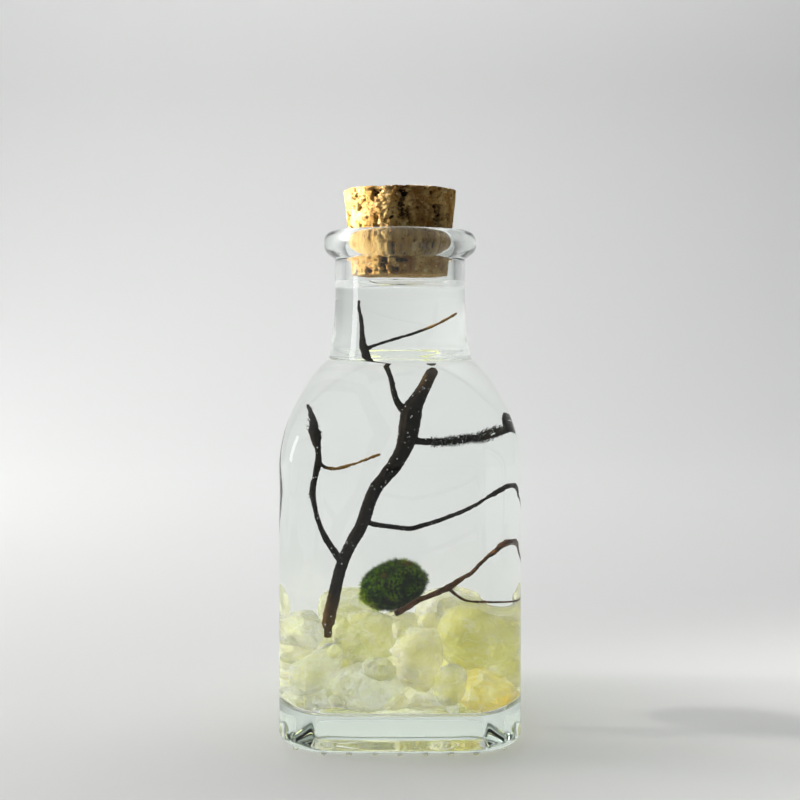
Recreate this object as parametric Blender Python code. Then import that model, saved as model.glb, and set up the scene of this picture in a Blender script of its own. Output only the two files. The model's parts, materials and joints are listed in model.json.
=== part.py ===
"""Corked square glass bottle that holds a marimo moss ball, a sea fan, pale yellow stones and water.

+Z is up, the origin is under the middle of the bottle's base, and the front of the bottle faces -Y.
Driving dimensions are real sizes in metres, written as millimetres times MM.
"""

import math

import bmesh
import bpy
import numpy as np
from mathutils import Vector, noise
from mathutils.bvhtree import BVHTree

MM = 0.001
GAP = 0.3 * MM  # room kept between pieces that touch

# Bottle, outside
BODY_HALF = 32 * MM
CORNER_RADIUS = 10 * MM
FACE_RADIUS = 400 * MM  # each side is slightly bowed
HEEL_RADIUS = 3.5 * MM
HEEL_ROUNDNESS = 0.2  # how far the outline eases towards a circle under the heel
RING_INNER = 26 * MM  # the flat ring that the bottle stands on
PUNT_HALF = 22 * MM
PUNT_RISE = 1.8 * MM
SHOULDER_START = 71 * MM
SHOULDER_RADIUS = 37.9 * MM
SHOULDER_EASE = 2  # how late the shoulder turns from square to round
SHOULDER_END = 97.9 * MM
NECK_BASE = 20 * MM
NECK_RADIUS = 18.2 * MM
LIP_START = 126.2 * MM
LIP_TOP = 134 * MM
LIP_RADIUS = 21.4 * MM
KNURL_RADIUS = 1 * MM
KNURL_TIP = 0.8 * MM
KNURL_HEIGHT = 1.6 * MM
KNURL_PITCH = 6.4 * MM
KNURLS_EACH_WAY = 3  # knurls on a side, counted from its middle
KNURL_LINE = 30.1 * MM  # half-width of the ring that they stand on
KNURL_ROUNDNESS = 0.12

# Bottle, inside
WALL = 3 * MM
FLOOR = 8.5 * MM
INNER_HEEL = 5 * MM
BORE = 15.2 * MM
SIDE_STEPS = 2
CORNER_STEPS = 5

# Cork
CORK_BOTTOM = 121.1 * MM
CORK_TOP = 145.8 * MM
CORK_TOP_RADIUS = 16.35 * MM
CORK_TAPER = 0.109  # radius lost for each unit of depth
CORK_ROUNDING = 0.7 * MM
CORK_SIDES = 26
CORK_ROWS = 7
PIT_DEPTH = 0.8 * MM

# Water
WATER_LEVEL = 117.9 * MM
MENISCUS_RISE = 2.3 * MM
PILE_CELLS = 14  # the water's underside is a grid laid over the stones
PILE_SAMPLES = 4  # stones are felt for at this many places along each cell

# Moss ball
BALL_CENTRE = (-1.9 * MM, 2 * MM, 36.3 * MM)
BALL_HALF = (10.4 * MM, 8.7 * MM, 7.9 * MM)
BALL_TILT = 8  # degrees, right side up
CREASE_DEPTH = 1.1 * MM

TWIG_SIDES = 6
TIP_RADIUS = 0.35  # a twig's last ring, as a share of its radius

# Routes in millimetres: x, y, z and the radius there
TRUNK = (
    (-19.8, -7.2, 24.6, 1.7), (-19.1, -7, 28, 1.8), (-17.6, -6, 34.2, 1.65), (-15.9, -5, 42.8, 1.6),
    (-12.7, -3.5, 49.5, 1.6), (-10.1, -3, 53.6, 1.8), (-8.4, -2.5, 59.2, 1.8), (-6.8, -2, 63.3, 1.75),
    (-3.7, -1.5, 66.9, 1.85), (-0.7, -1, 70.1, 1.9), (1.4, -0.3, 73.4, 2.3), (2.4, 0, 77, 2.9),
    (3, 0, 81, 2.9), (4.9, 0, 84, 1.9), (6.7, -0.4, 87, 1.65), (7.6, -1, 89.2, 1.55),
)
BRANCH_LEFT = (
    (-15.4, -4.5, 43.8, 1.1), (-16.7, -5.4, 45.9, 0.95), (-19.5, -6, 50.2, 0.9), (-22.3, -6, 55.6, 0.85),
    (-23.7, -6, 60.9, 0.85), (-23.7, -6, 65, 0.9), (-22.7, -6, 68.7, 1.1), (-22, -6, 70.6, 1.3),
    (-22.2, -6, 73.3, 0.85), (-22.3, -6, 75.6, 0.75), (-21.4, -6, 78, 0.55), (-21.1, -6, 80.3, 0.4),
    (-21.6, -6, 81.6, 0.3),
)
TWIGLET_LEFT = (
    (-21.4, -5.8, 70.2, 0.5), (-19.7, -5.2, 69.1, 0.4), (-17.1, -5, 68.8, 0.35), (-14, -4.5, 69.5, 0.35),
    (-10.9, -4, 70.2, 0.3), (-7.8, -3.5, 71.3, 0.35), (-5.2, -3, 71.9, 0.3),
)
BRANCH_MIDDLE = (
    (-9.1, -2.6, 54.8, 0.9), (-7.4, -2, 53.7, 0.75), (-3.2, -1, 53.1, 0.65), (1, 0.4, 52.3, 0.65),
    (3.5, 1, 52.1, 0.75), (5.9, 1.6, 52.8, 0.65), (10.8, 2, 54.3, 0.6), (17.2, 0.5, 57, 0.55),
    (20.2, -2, 59, 0.55), (22.7, -4, 60.6, 0.5), (24.4, -6, 61.8, 0.45), (24.7, -8, 62.9, 0.42),
    (25.7, -9.5, 64.7, 0.4), (26.1, -10, 65.7, 0.35),
)
BRANCH_UPPER = (
    (2.2, -0.2, 74.8, 1), (5.7, -0.6, 74.3, 0.75), (10.8, -1.5, 74.4, 0.75), (15, -2.5, 74.8, 0.85),
    (19.5, -3.5, 75.6, 0.8), (22.4, -5, 76, 0.75), (24.2, -8, 75.9, 0.65), (24.7, -9, 77, 0.55),
    (24.2, -10, 78.9, 0.45), (24.2, -10, 81, 0.35),
)
STEM_NECK = (
    (2.2, 0.2, 80.5, 1.2), (0.2, 0.2, 82, 1), (-0.9, 0.2, 83.3, 0.85), (-1.7, 0.5, 85.4, 0.8),
    (-2.3, 1, 88.5, 0.7), (-3.7, 1.4, 91.8, 0.7), (-5.4, 1.4, 95.6, 0.75), (-7.7, 1, 99.4, 1),
    (-8, 0.8, 104.4, 0.55), (-8.1, 0.8, 109.2, 0.45), (-8.8, 0.5, 112.2, 0.38), (-8.8, 0, 114.5, 0.32),
)
PRONG_NECK = (
    (-7.7, 1, 99.4, 0.7), (-6, 0.5, 100.9, 0.5), (-1.6, -0.8, 103, 0.42), (3.2, -1.5, 104.9, 0.42),
    (7.6, -2, 107.2, 0.4), (10.6, -2, 109.2, 0.4), (12.7, -1.2, 110.9, 0.35),
)
LYING_STEM = (
    (-1.3, -8, 30.8, 0.85), (2.1, -7, 32.4, 0.8), (4.6, -6.5, 34.1, 0.75), (7.9, -5.5, 35.1, 0.75),
    (10.7, -5, 36.2, 0.8), (13.1, -5, 37.3, 1), (16.9, -6, 40.3, 0.6), (18.9, -6.5, 41.2, 0.6),
    (20.5, -7, 43.4, 0.6), (24.2, -8, 46.2, 0.5), (24.9, -9, 48, 0.42), (25.6, -10, 50, 0.4),
    (26, -10, 50.9, 0.35),
)
LYING_PRONG = (
    (13, -4.9, 37, 0.5), (14.1, -5, 35.8, 0.42), (16.9, -5.5, 33.9, 0.33), (19.3, -6, 33.6, 0.33),
    (24.4, -6, 33.6, 0.33), (25.8, -5, 33.2, 0.3),
)

# Stones: name, centre and half-sizes in millimetres, tilt about Y and turn about Z in degrees.
# The first group shows through the front glass and keeps its place; the others give way to it.
FRONT_STONES = (
    ("stone_front_bottom_left", (-22.4, -20, 11.2), (4.8, 4.4, 2.4), 6, 10),
    ("stone_front_oval", (-9.4, -20.8, 14.8), (9.6, 6.8, 5.8), 0, 4),
    ("stone_front_flat", (6.8, -20.8, 11), (7.6, 6.8, 2.3), -3, -6),
    ("stone_front_amber", (20.2, -20.8, 13.8), (5.6, 6, 4.8), 5, 20),
    ("stone_front_chip", (12.2, -24.6, 15.4), (3, 3.4, 4.6), 8, 0),
    ("stone_front_tall", (4.4, -20.8, 21.8), (5.4, 6.4, 8.2), 3, 0),
    ("stone_front_long", (-21.4, -24.4, 18.2), (7.6, 3.6, 3.5), -38, 4),
    ("stone_front_sliver", (-5, -26.2, 21.5), (3.8, 1.9, 1.7), 8, 0),
    ("stone_front_upper", (-9.6, -17.6, 27), (9, 5.6, 5.4), -4, 3),
    ("stone_front_round", (15.8, -19.6, 26.4), (8.9, 7.2, 8.4), 0, 0),
    ("stone_left_corner", (-24.2, -17.8, 29.8), (3, 5, 4), -12, 16),
)
OTHER_STONES = (
    ("stone_middle_left", (-19, -4, 14.6), (8.6, 8.8, 5.8), 0, 8),
    ("stone_middle", (-1.4, -1.6, 18.8), (8.6, 9.8, 10.2), 4, -6),
    ("stone_middle_right", (18, -4, 15.6), (8.6, 8.4, 7), -4, 10),
    ("stone_left_wall", (-15.6, 4.6, 27), (8, 7, 5.6), -6, -12),
    ("stone_right_wall", (17.6, -1, 27.6), (8.4, 8, 5), 5, 8),
    ("stone_back_left", (-18.8, 18.6, 15), (8.6, 9, 6.2), 4, 30),
    ("stone_back", (0, 19.6, 16.6), (8.6, 8, 7.8), -5, 0),
    ("stone_back_right", (18.8, 18.6, 15), (8.6, 9, 6.2), 0, -20),
    ("stone_back_upper_left", (-12.8, 19, 27), (8.8, 7.6, 4.8), 5, -10),
    ("stone_back_upper_right", (11, 17.8, 27.6), (9.6, 8, 5), -6, 12),
)
WALL_ROOM = 0.45 * MM  # a stone's distance from the hollow's true curve, which the facets cut into
FRONT_GIVE = 0.12  # how readily a front stone moves, where the others have 1
SETTLE_STEPS = 260
SETTLE_DROP = 0.03 * MM  # how far a loose stone sinks at each step, before the others push back


def clear_scene():
    for obj in list(bpy.data.objects):
        bpy.data.objects.remove(obj, do_unlink=True)


def material(name, colour, roughness, metallic=0.0, transmission=0.0, ior=1.5):
    made = bpy.data.materials.new(name)
    made.use_nodes = True
    shader = made.node_tree.nodes["Principled BSDF"]
    shader.inputs["Base Color"].default_value = (*colour, 1)
    shader.inputs["Roughness"].default_value = roughness
    shader.inputs["Metallic"].default_value = metallic
    shader.inputs["Transmission Weight"].default_value = transmission
    shader.inputs["IOR"].default_value = ior
    made.diffuse_color = (*colour, 1)
    return made


def new_object(name, bm, parent, finish=None, sharp_degrees=40):
    """One named object from a bmesh, its faces turned outwards and shaded smooth."""
    bmesh.ops.recalc_face_normals(bm, faces=bm.faces)
    mesh = bpy.data.meshes.new(name)
    bm.to_mesh(mesh)
    bm.free()
    mesh.shade_smooth()
    mesh.set_sharp_from_angle(angle=math.radians(sharp_degrees))
    obj = bpy.data.objects.new(name, mesh)
    bpy.context.scene.collection.objects.link(obj)
    obj.parent = parent
    if finish:
        mesh.materials.append(finish)
    return obj


def hide_as_cutter(obj):
    obj.hide_render = True
    obj.display_type = "WIRE"
    return obj


def loft(bm, rings, bottom=None, top=None):
    """Closes a stack of rings of equal count into one body, with a centre point or a face at each end."""
    rows = [[bm.verts.new(point) for point in ring] for ring in rings]
    count = len(rows[0])
    for low, high in zip(rows, rows[1:]):
        for i in range(count):
            j = (i + 1) % count
            bm.faces.new((low[i], low[j], high[j], high[i]))
    for row, centre, flip in ((rows[0], bottom, True), (rows[-1], top, False)):
        if centre is None:
            bm.faces.new(row[::-1] if flip else row)
            continue
        hub = bm.verts.new(centre)
        for i in range(count):
            j = (i + 1) % count
            bm.faces.new((hub, row[j], row[i]) if flip else (hub, row[i], row[j]))


# The bottle's outline at one height: four bowed sides and four arc corners, each found by the direction
# it faces. The corner arc's centre lies on the diagonal, where it meets the side arcs without a step.
SIDE_CENTRE = BODY_HALF - FACE_RADIUS
CORNER_CENTRE = (SIDE_CENTRE + math.sqrt(2 * (FACE_RADIUS - CORNER_RADIUS) ** 2 - SIDE_CENTRE**2)) / 2
SIDE_ANGLE = math.atan2(CORNER_CENTRE, CORNER_CENTRE - SIDE_CENTRE)


def outline_point(half, roundness, facing):
    """The outline's point that looks along `facing`: the body's, drawn in to `half` and eased to a circle."""
    quarter = math.floor((facing + SIDE_ANGLE) / (math.pi / 2))
    local = facing - quarter * math.pi / 2
    if local <= SIDE_ANGLE:
        x = SIDE_CENTRE + FACE_RADIUS * math.cos(local)
        y = FACE_RADIUS * math.sin(local)
    else:
        x = CORNER_CENTRE + CORNER_RADIUS * math.cos(local)
        y = CORNER_CENTRE + CORNER_RADIUS * math.sin(local)
    inset = BODY_HALF - half
    along = roundness * half - (1 - roundness) * inset
    x = (1 - roundness) * x + along * math.cos(local)
    y = (1 - roundness) * y + along * math.sin(local)
    turn = quarter * math.pi / 2
    return x * math.cos(turn) - y * math.sin(turn), x * math.sin(turn) + y * math.cos(turn)


def facings():
    """Directions at which the outline is sampled: few on the sides, more on the corners."""
    corner = math.pi / 2 - 2 * SIDE_ANGLE
    for quarter in range(4):
        start = quarter * math.pi / 2
        for i in range(SIDE_STEPS):
            yield start - SIDE_ANGLE + 2 * SIDE_ANGLE * i / SIDE_STEPS
        for i in range(CORNER_STEPS):
            yield start + SIDE_ANGLE + corner * i / CORNER_STEPS


def outline(half, roundness, height):
    return [(*outline_point(half, roundness, facing), height) for facing in facings()]


def shoulder_rows(inset, end_half, steps):
    """Rows up the domed shoulder: an arc in profile, easing from the square body to the round neck."""
    radius = SHOULDER_RADIUS - inset
    end = math.acos((end_half - (BODY_HALF - SHOULDER_RADIUS)) / radius)
    rows = []
    for i in range(steps + 1):
        angle = end * i / steps
        half = BODY_HALF - SHOULDER_RADIUS + radius * math.cos(angle)
        roundness = (math.sin(angle) / math.sin(end)) ** SHOULDER_EASE
        rows.append((half, roundness, SHOULDER_START + radius * math.sin(angle)))
    return rows


def heel_rows(half, radius, floor, roundness, steps):
    """Rows round the heel, from the floor up to the wall."""
    rows = []
    for i in range(steps + 1):
        angle = math.pi / 2 * i / steps
        share = 1 - math.sin(angle)
        rows.append((half - radius * share, roundness * share, floor + radius * (1 - math.cos(angle))))
    return rows


def outer_profile():
    crease_half = BODY_HALF - SHOULDER_RADIUS + math.sqrt(
        SHOULDER_RADIUS**2 - (SHOULDER_END - SHOULDER_START) ** 2
    )
    neck = (
        (NECK_BASE, SHOULDER_END + 0.8 * MM),
        (19.2 * MM, 103.5 * MM),
        (18.6 * MM, 109 * MM),
        (NECK_RADIUS, 117 * MM),
        (NECK_RADIUS, LIP_START),
    )
    return (
        [(PUNT_HALF, HEEL_ROUNDNESS, PUNT_RISE), (RING_INNER, HEEL_ROUNDNESS, 0)]
        + heel_rows(BODY_HALF, HEEL_RADIUS, 0, HEEL_ROUNDNESS, 3)
        + shoulder_rows(0, crease_half, 7)
        + [(half, 1, height) for half, height in neck]
    )


def lip_profile():
    """Round the lip's bead and over into the bore."""
    drop = LIP_TOP - LIP_START
    bead = (
        (19.3 * MM, 0.1), (20.9 * MM, 0.3), (LIP_RADIUS, 0.58), (21 * MM, 0.83), (19.7 * MM, 0.97),
        (18 * MM, 1), (16.6 * MM, 0.96), (15.6 * MM, 0.84),
    )
    return [(half, 1, LIP_START + drop * share) for half, share in bead]


def inner_profile(offset=0.0):
    """The hollow's wall from the bore down to the floor, drawn in by `offset`."""
    shoulder = shoulder_rows(WALL + offset, BORE - offset, 7)
    heel = heel_rows(BODY_HALF - WALL - offset, INNER_HEEL - offset, FLOOR + offset, 0, 3)
    return shoulder[::-1] + heel[::-1]


def knurl_places():
    """Where the knurls stand: evenly along each side, and one on each corner."""
    side = FACE_RADIUS - BODY_HALF + KNURL_LINE
    radius = (1 - KNURL_ROUNDNESS) * side + KNURL_ROUNDNESS * KNURL_LINE
    for quarter in range(4):
        for step in range(-KNURLS_EACH_WAY, KNURLS_EACH_WAY + 1):
            yield quarter * math.pi / 2 + math.asin(step * KNURL_PITCH / radius)
        yield quarter * math.pi / 2 + math.pi / 4


def make_bottle(parent):
    rows = outer_profile() + lip_profile() + [(BORE, 1, LIP_TOP - 3 * MM)] + inner_profile()
    bm = bmesh.new()
    loft(bm, [outline(*row) for row in rows], bottom=(0, 0, PUNT_RISE), top=(0, 0, FLOOR))
    glass = material("clear_glass", (0.86, 0.93, 0.89), 0.02, transmission=1.0, ior=1.52)
    bottle = new_object("bottle", bm, parent, glass)

    knurls = bmesh.new()
    for facing in knurl_places():
        x, y = outline_point(KNURL_LINE, KNURL_ROUNDNESS, facing)
        made = bmesh.ops.create_cone(
            knurls, cap_ends=True, segments=6, radius1=KNURL_TIP, radius2=KNURL_RADIUS, depth=KNURL_HEIGHT
        )
        bmesh.ops.translate(knurls, verts=made["verts"], vec=(x, y, KNURL_HEIGHT / 2))
    cutter = hide_as_cutter(new_object("knurl_ring", knurls, parent))
    union = bottle.modifiers.new("knurls", "BOOLEAN")
    union.operation = "UNION"
    union.solver = "EXACT"
    union.object = cutter
    return bottle


def cork_radius(height):
    return CORK_TOP_RADIUS - (CORK_TOP - height) * CORK_TAPER


def make_cork(parent):
    """A tapered stopper with rounded edges, uneven sides and a few pits."""
    rings = []
    rows = [(CORK_BOTTOM, CORK_ROUNDING), (CORK_BOTTOM + 0.3 * CORK_ROUNDING, 0.3 * CORK_ROUNDING)]
    for i in range(1, CORK_ROWS):
        rows.append((CORK_BOTTOM + (CORK_TOP - CORK_BOTTOM) * i / CORK_ROWS, 0))
    rows += [(CORK_TOP - 0.3 * CORK_ROUNDING, 0.3 * CORK_ROUNDING), (CORK_TOP, CORK_ROUNDING)]
    for height, edge in rows:
        ring = []
        for side in range(CORK_SIDES):
            angle = 2 * math.pi * side / CORK_SIDES
            across = Vector((math.cos(angle), math.sin(angle), 0))
            spot = Vector((across.x * 2.1, across.y * 2.1, height / MM * 0.16))
            rough = 0.22 * MM * (noise.noise(spot) - 0.6)
            pit = PIT_DEPTH if noise.noise(spot * 2.7 + Vector((9, 4, 2))) > 0.42 else 0
            ring.append(across * (cork_radius(height) - edge + rough - pit) + Vector((0, 0, height)))
        rings.append(ring)
    bm = bmesh.new()
    loft(bm, rings, bottom=(0, 0, CORK_BOTTOM), top=(0, 0, CORK_TOP))
    return new_object("cork", bm, parent, material("cork", (0.55, 0.33, 0.16), 0.85))


def twig_mesh(route, growth=0.0):
    """A knobbly tapered tube along a route, with blunt ends."""
    line = [(Vector(point[:3]) * MM, point[3] * MM) for point in route]
    first, last = line[0], line[-1]
    start = (line[1][0] - first[0]).normalized()
    end = (last[0] - line[-2][0]).normalized()
    line[0] = (first[0] + start * 0.15 * first[1], first[1])
    line.insert(0, (first[0] - start * growth, TIP_RADIUS * first[1]))
    line.append((last[0] + end * (0.5 * last[1] + growth), TIP_RADIUS * last[1]))
    side = start.orthogonal().normalized()
    rings = []
    for i, (centre, radius) in enumerate(line):
        along = (line[min(i + 1, len(line) - 1)][0] - line[max(i - 1, 0)][0]).normalized()
        side = (side - along * side.dot(along)).normalized()
        other = along.cross(side)
        knob = 1 + 0.09 * noise.noise(centre / MM * 0.6)
        reach = radius * knob + growth
        ring = []
        for k in range(TWIG_SIDES):
            angle = 2 * math.pi * k / TWIG_SIDES
            ring.append(centre + (side * math.cos(angle) + other * math.sin(angle)) * reach)
        rings.append(ring)
    bm = bmesh.new()
    loft(bm, rings)
    return bm, rings


def make_twig(name, route, parent, finish, cutters, carrier=None):
    """A twig, its pocket in the water, and a cut that keeps it clear of the twig that carries it."""
    bm, rings = twig_mesh(route)
    twig = new_object(name, bm, parent, finish)
    grown, _ = twig_mesh(route, GAP)
    pocket = hide_as_cutter(new_object(name + "_room", grown, parent))
    cutters.objects.link(pocket)
    if carrier:
        cut = twig.modifiers.new("clear_of_carrier", "BOOLEAN")
        cut.operation = "DIFFERENCE"
        cut.solver = "EXACT"
        cut.object = carrier
    return pocket, [np.array(a + b) for a, b in zip(rings, rings[1:])]


def make_ball(parent, cutters):
    """The moss ball: an egg-like form with a soft crease at its lower left."""
    half = Vector(BALL_HALF)
    crease_facing = Vector((0.86, -0.1, 0.5)).normalized()
    bm = bmesh.new()
    bmesh.ops.create_icosphere(bm, subdivisions=3, radius=1)
    grown = bmesh.new()
    bmesh.ops.create_icosphere(grown, subdivisions=3, radius=1)
    for mesh, growth in ((bm, 0), (grown, GAP)):
        for vert in mesh.verts:
            out = vert.co.normalized()
            lump = 1 + 0.05 * noise.noise(out * 2.3 + Vector((3, 1, 7)))
            lean = 1 + 0.1 * out.x * out.z
            place = Vector((out.x * half.x, out.y * half.y, out.z * half.z)) * lump * lean
            near = (out.dot(crease_facing) + 0.42) / 0.2
            facing_us = max(0.0, 0.3 - out.y)
            place -= out * CREASE_DEPTH * facing_us * math.exp(-near * near)
            vert.co = place + out * growth
    green = material("moss", (0.10, 0.20, 0.02), 0.95)
    ball = new_object("moss_ball", bm, parent, green)
    pocket = hide_as_cutter(new_object("moss_ball_room", grown, parent))
    cutters.objects.link(pocket)
    for obj in (ball, pocket):
        obj.location = BALL_CENTRE
        obj.rotation_euler = (0, math.radians(-BALL_TILT), 0)
    bpy.context.view_layer.update()
    return np.array([ball.matrix_world @ vert.co for vert in ball.data.vertices])


def stone_mesh(half_sizes, seed):
    """A tumbled stone: a rounded lump with blunt corners and soft flats."""
    bm = bmesh.new()
    bmesh.ops.create_icosphere(bm, subdivisions=2, radius=1)
    for vert in bm.verts:
        out = vert.co.normalized()
        blunt = (abs(out.x) ** 2.5 + abs(out.y) ** 2.5 + abs(out.z) ** 2.5) ** (-1 / 2.5)
        lump = 1 + 0.07 * noise.noise(out * 1.1 + Vector((seed * 3.7, seed * 1.9, 5)))
        place = out * blunt * lump
        vert.co = (place.x * half_sizes[0], place.y * half_sizes[1], place.z * half_sizes[2])
    return bm


def separation(first, second, directions):
    """The widest gap between two sets of points along any of the directions, and that direction."""
    gaps = (second @ directions.T).min(axis=0) - (first @ directions.T).max(axis=0)
    best = gaps.argmax()
    return gaps[best], directions[best]


def sphere_directions(count):
    """Directions spread evenly over a sphere, on a spiral."""
    index = np.arange(count) + 0.5
    height = 1 - 2 * index / count
    turn = math.pi * (1 + math.sqrt(5)) * index
    across = np.sqrt(1 - height**2)
    return np.stack([across * np.cos(turn), across * np.sin(turn), height], axis=1)


def wall_push(points):
    """The move that brings a stone's points back inside the hollow, clear of its walls and floor."""
    push = np.zeros(3)
    push[2] = max(0, FLOOR + GAP - points[:, 2].min())
    low = np.clip(FLOOR + INNER_HEEL - points[:, 2], 0, INNER_HEEL)
    inset = WALL + INNER_HEEL - np.sqrt(INNER_HEEL**2 - low**2)
    flat = np.abs(points[:, :2])
    swapped = flat[:, 1] > flat[:, 0]
    major, minor = flat.max(axis=1), flat.min(axis=1)
    in_corner = np.arctan2(minor - CORNER_CENTRE, major - CORNER_CENTRE) > SIDE_ANGLE
    in_corner &= minor > CORNER_CENTRE
    out_major = major - np.where(in_corner, CORNER_CENTRE, SIDE_CENTRE)
    out_minor = minor - np.where(in_corner, CORNER_CENTRE, 0)
    reach = np.hypot(out_major, out_minor)
    room = np.where(in_corner, CORNER_RADIUS, FACE_RADIUS) - inset - WALL_ROOM - reach
    worst = room.argmin()
    if room[worst] < 0:
        away = np.array([out_major[worst], out_minor[worst]]) / reach[worst]
        if swapped[worst]:
            away = away[::-1]
        push[:2] += away * np.sign(points[worst, :2]) * room[worst]
    return push


def boxes_apart(first, second):
    above = first.min(axis=0) > second.max(axis=0) + GAP
    below = second.min(axis=0) > first.max(axis=0) + GAP
    return bool((above | below).any())


def settle(clouds, give, fixed):
    """Moves the stones apart, off the walls and off what is fixed, while each sinks onto those below it."""
    directions = sphere_directions(160)
    moves = np.zeros((len(clouds), 3))
    for step in range(SETTLE_STEPS):
        sinking = step < SETTLE_STEPS * 0.6
        for i, cloud in enumerate(clouds):
            if sinking:
                moves[i, 2] -= SETTLE_DROP * give[i]
            moves[i] += wall_push(cloud + moves[i])
        for i, cloud in enumerate(clouds):
            for j in range(i + 1, len(clouds)):
                here, there = cloud + moves[i], clouds[j] + moves[j]
                if boxes_apart(here, there):
                    continue
                gap, way = separation(here, there, directions)
                if gap < GAP:
                    share = give[i] / (give[i] + give[j])
                    moves[i] -= way * (GAP - gap) * share
                    moves[j] += way * (GAP - gap) * (1 - share)
            for block in fixed:
                here = cloud + moves[i]
                if boxes_apart(here, block):
                    continue
                gap, way = separation(here, block, directions)
                if gap < GAP:
                    moves[i] -= way * (GAP - gap)
    return moves


def make_stones(parent, fixed):
    """The stones, each settled onto those below it, and the mesh of them all in place."""
    pale = material("pale_stone", (0.80, 0.79, 0.42), 0.15, transmission=0.6)
    amber = material("amber_stone", (0.72, 0.50, 0.18), 0.15, transmission=0.5)
    stones = []
    clouds = []
    give = [FRONT_GIVE] * len(FRONT_STONES) + [1] * len(OTHER_STONES)
    for seed, (name, centre, half_sizes, tilt, turn) in enumerate(FRONT_STONES + OTHER_STONES):
        sizes = [size * MM for size in half_sizes]
        stone = new_object(name, stone_mesh(sizes, seed), parent, amber if "amber" in name else pale, 180)
        stone.location = Vector(centre) * MM
        stone.rotation_euler = (0, math.radians(tilt), math.radians(turn))
        spin = stone.rotation_euler.to_matrix()
        clouds.append(np.array([spin @ vert.co + stone.location for vert in stone.data.vertices]))
        stones.append(stone)
    moves = settle(clouds, give, fixed)
    corners, faces = [], []
    for stone, cloud, move in zip(stones, clouds, moves):
        stone.location += Vector(move)
        faces += [[index + len(corners) for index in face.vertices] for face in stone.data.polygons]
        corners += [Vector(point) for point in cloud + move]
    return corners, faces


def pile_room(parent, pile):
    """Everything under the water: a block whose top is a grid laid just over the highest stones."""
    tree = BVHTree.FromPolygons(*pile)
    reach = BODY_HALF
    count = PILE_CELLS * PILE_SAMPLES + 1
    tops = np.full((count, count), FLOOR + GAP)
    for i in range(count):
        for j in range(count):
            x, y = (reach * (2 * k / (count - 1) - 1) for k in (i, j))
            hit = tree.ray_cast(Vector((x, y, SHOULDER_START)), Vector((0, 0, -1)))[0]
            if hit:
                tops[i, j] = hit.z
    bm = bmesh.new()
    grid = []
    for i in range(PILE_CELLS + 1):
        row = []
        for j in range(PILE_CELLS + 1):
            x, y = (reach * (2 * k / PILE_CELLS - 1) for k in (i, j))
            around = [slice(max(0, (k - 1) * PILE_SAMPLES), (k + 1) * PILE_SAMPLES + 1) for k in (i, j)]
            row.append((x, y, tops[around[0], around[1]].max() + GAP))
        grid.append(row)
    upper = [[bm.verts.new(point) for point in row] for row in grid]
    lower = [[bm.verts.new((x, y, 0)) for x, y, _ in row] for row in grid]
    for i in range(PILE_CELLS):
        for j in range(PILE_CELLS):
            for layer in (upper, lower):
                bm.faces.new((layer[i][j], layer[i + 1][j], layer[i + 1][j + 1], layer[i][j + 1]))
    edges = [[row[0] for row in upper], [row[-1] for row in upper], upper[0], upper[-1]]
    feet = [[row[0] for row in lower], [row[-1] for row in lower], lower[0], lower[-1]]
    for edge, foot in zip(edges, feet):
        for k in range(PILE_CELLS):
            bm.faces.new((foot[k], foot[k + 1], edge[k + 1], edge[k]))
    bmesh.ops.triangulate(bm, faces=bm.faces)
    return hide_as_cutter(new_object("stones_room", bm, parent))


def make_water(parent, cutters, pile):
    """The water over the stones, up to the neck, with a pocket for each thing that lies in it."""
    level = WATER_LEVEL - 0.1 * MM
    edge = BORE - GAP
    surface = (
        (edge, MENISCUS_RISE), (edge - 0.35 * MM, 0.7 * MENISCUS_RISE), (edge - 1 * MM, 0.35 * MENISCUS_RISE),
        (edge - 2.4 * MM, 0.08 * MENISCUS_RISE),
    )
    rows = inner_profile(GAP)[::-1] + [(half, 1, WATER_LEVEL + rise) for half, rise in surface]
    bm = bmesh.new()
    loft(bm, [outline(*row) for row in rows], bottom=(0, 0, FLOOR + GAP), top=(0, 0, level))
    clear = material("water", (0.92, 0.97, 0.95), 0.0, transmission=1.0, ior=1.33)
    water = new_object("water", bm, parent, clear)
    cutters.objects.link(pile_room(parent, pile))
    cut = water.modifiers.new("pockets", "BOOLEAN")
    cut.operation = "DIFFERENCE"
    cut.solver = "EXACT"
    cut.operand_type = "COLLECTION"
    cut.collection = cutters


def main():
    clear_scene()
    garden = bpy.data.objects.new("bottle_garden", None)
    bpy.context.scene.collection.objects.link(garden)
    cutters = bpy.data.collections.new("pockets")
    bpy.context.scene.collection.children.link(cutters)

    make_bottle(garden)
    make_cork(garden)

    bark = material("sea_fan", (0.035, 0.022, 0.015), 0.7)
    trunk, blocks = make_twig("sea_fan_trunk", TRUNK, garden, bark, cutters)
    left, _ = make_twig("sea_fan_branch_left", BRANCH_LEFT, garden, bark, cutters, trunk)
    make_twig("sea_fan_twiglet_left", TWIGLET_LEFT, garden, bark, cutters, left)
    make_twig("sea_fan_branch_middle", BRANCH_MIDDLE, garden, bark, cutters, trunk)
    make_twig("sea_fan_branch_upper", BRANCH_UPPER, garden, bark, cutters, trunk)
    stem, _ = make_twig("sea_fan_stem_neck", STEM_NECK, garden, bark, cutters, trunk)
    make_twig("sea_fan_prong_neck", PRONG_NECK, garden, bark, cutters, stem)
    lying, lying_blocks = make_twig("lying_twig_stem", LYING_STEM, garden, bark, cutters)
    _, prong_blocks = make_twig("lying_twig_prong", LYING_PRONG, garden, bark, cutters, lying)
    ball = make_ball(garden, cutters)
    pile = make_stones(garden, blocks + lying_blocks + prong_blocks + [ball])
    make_water(garden, cutters, pile)


main()
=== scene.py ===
import json
import math
import random

import bmesh
import bpy
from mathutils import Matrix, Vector, noise

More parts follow.
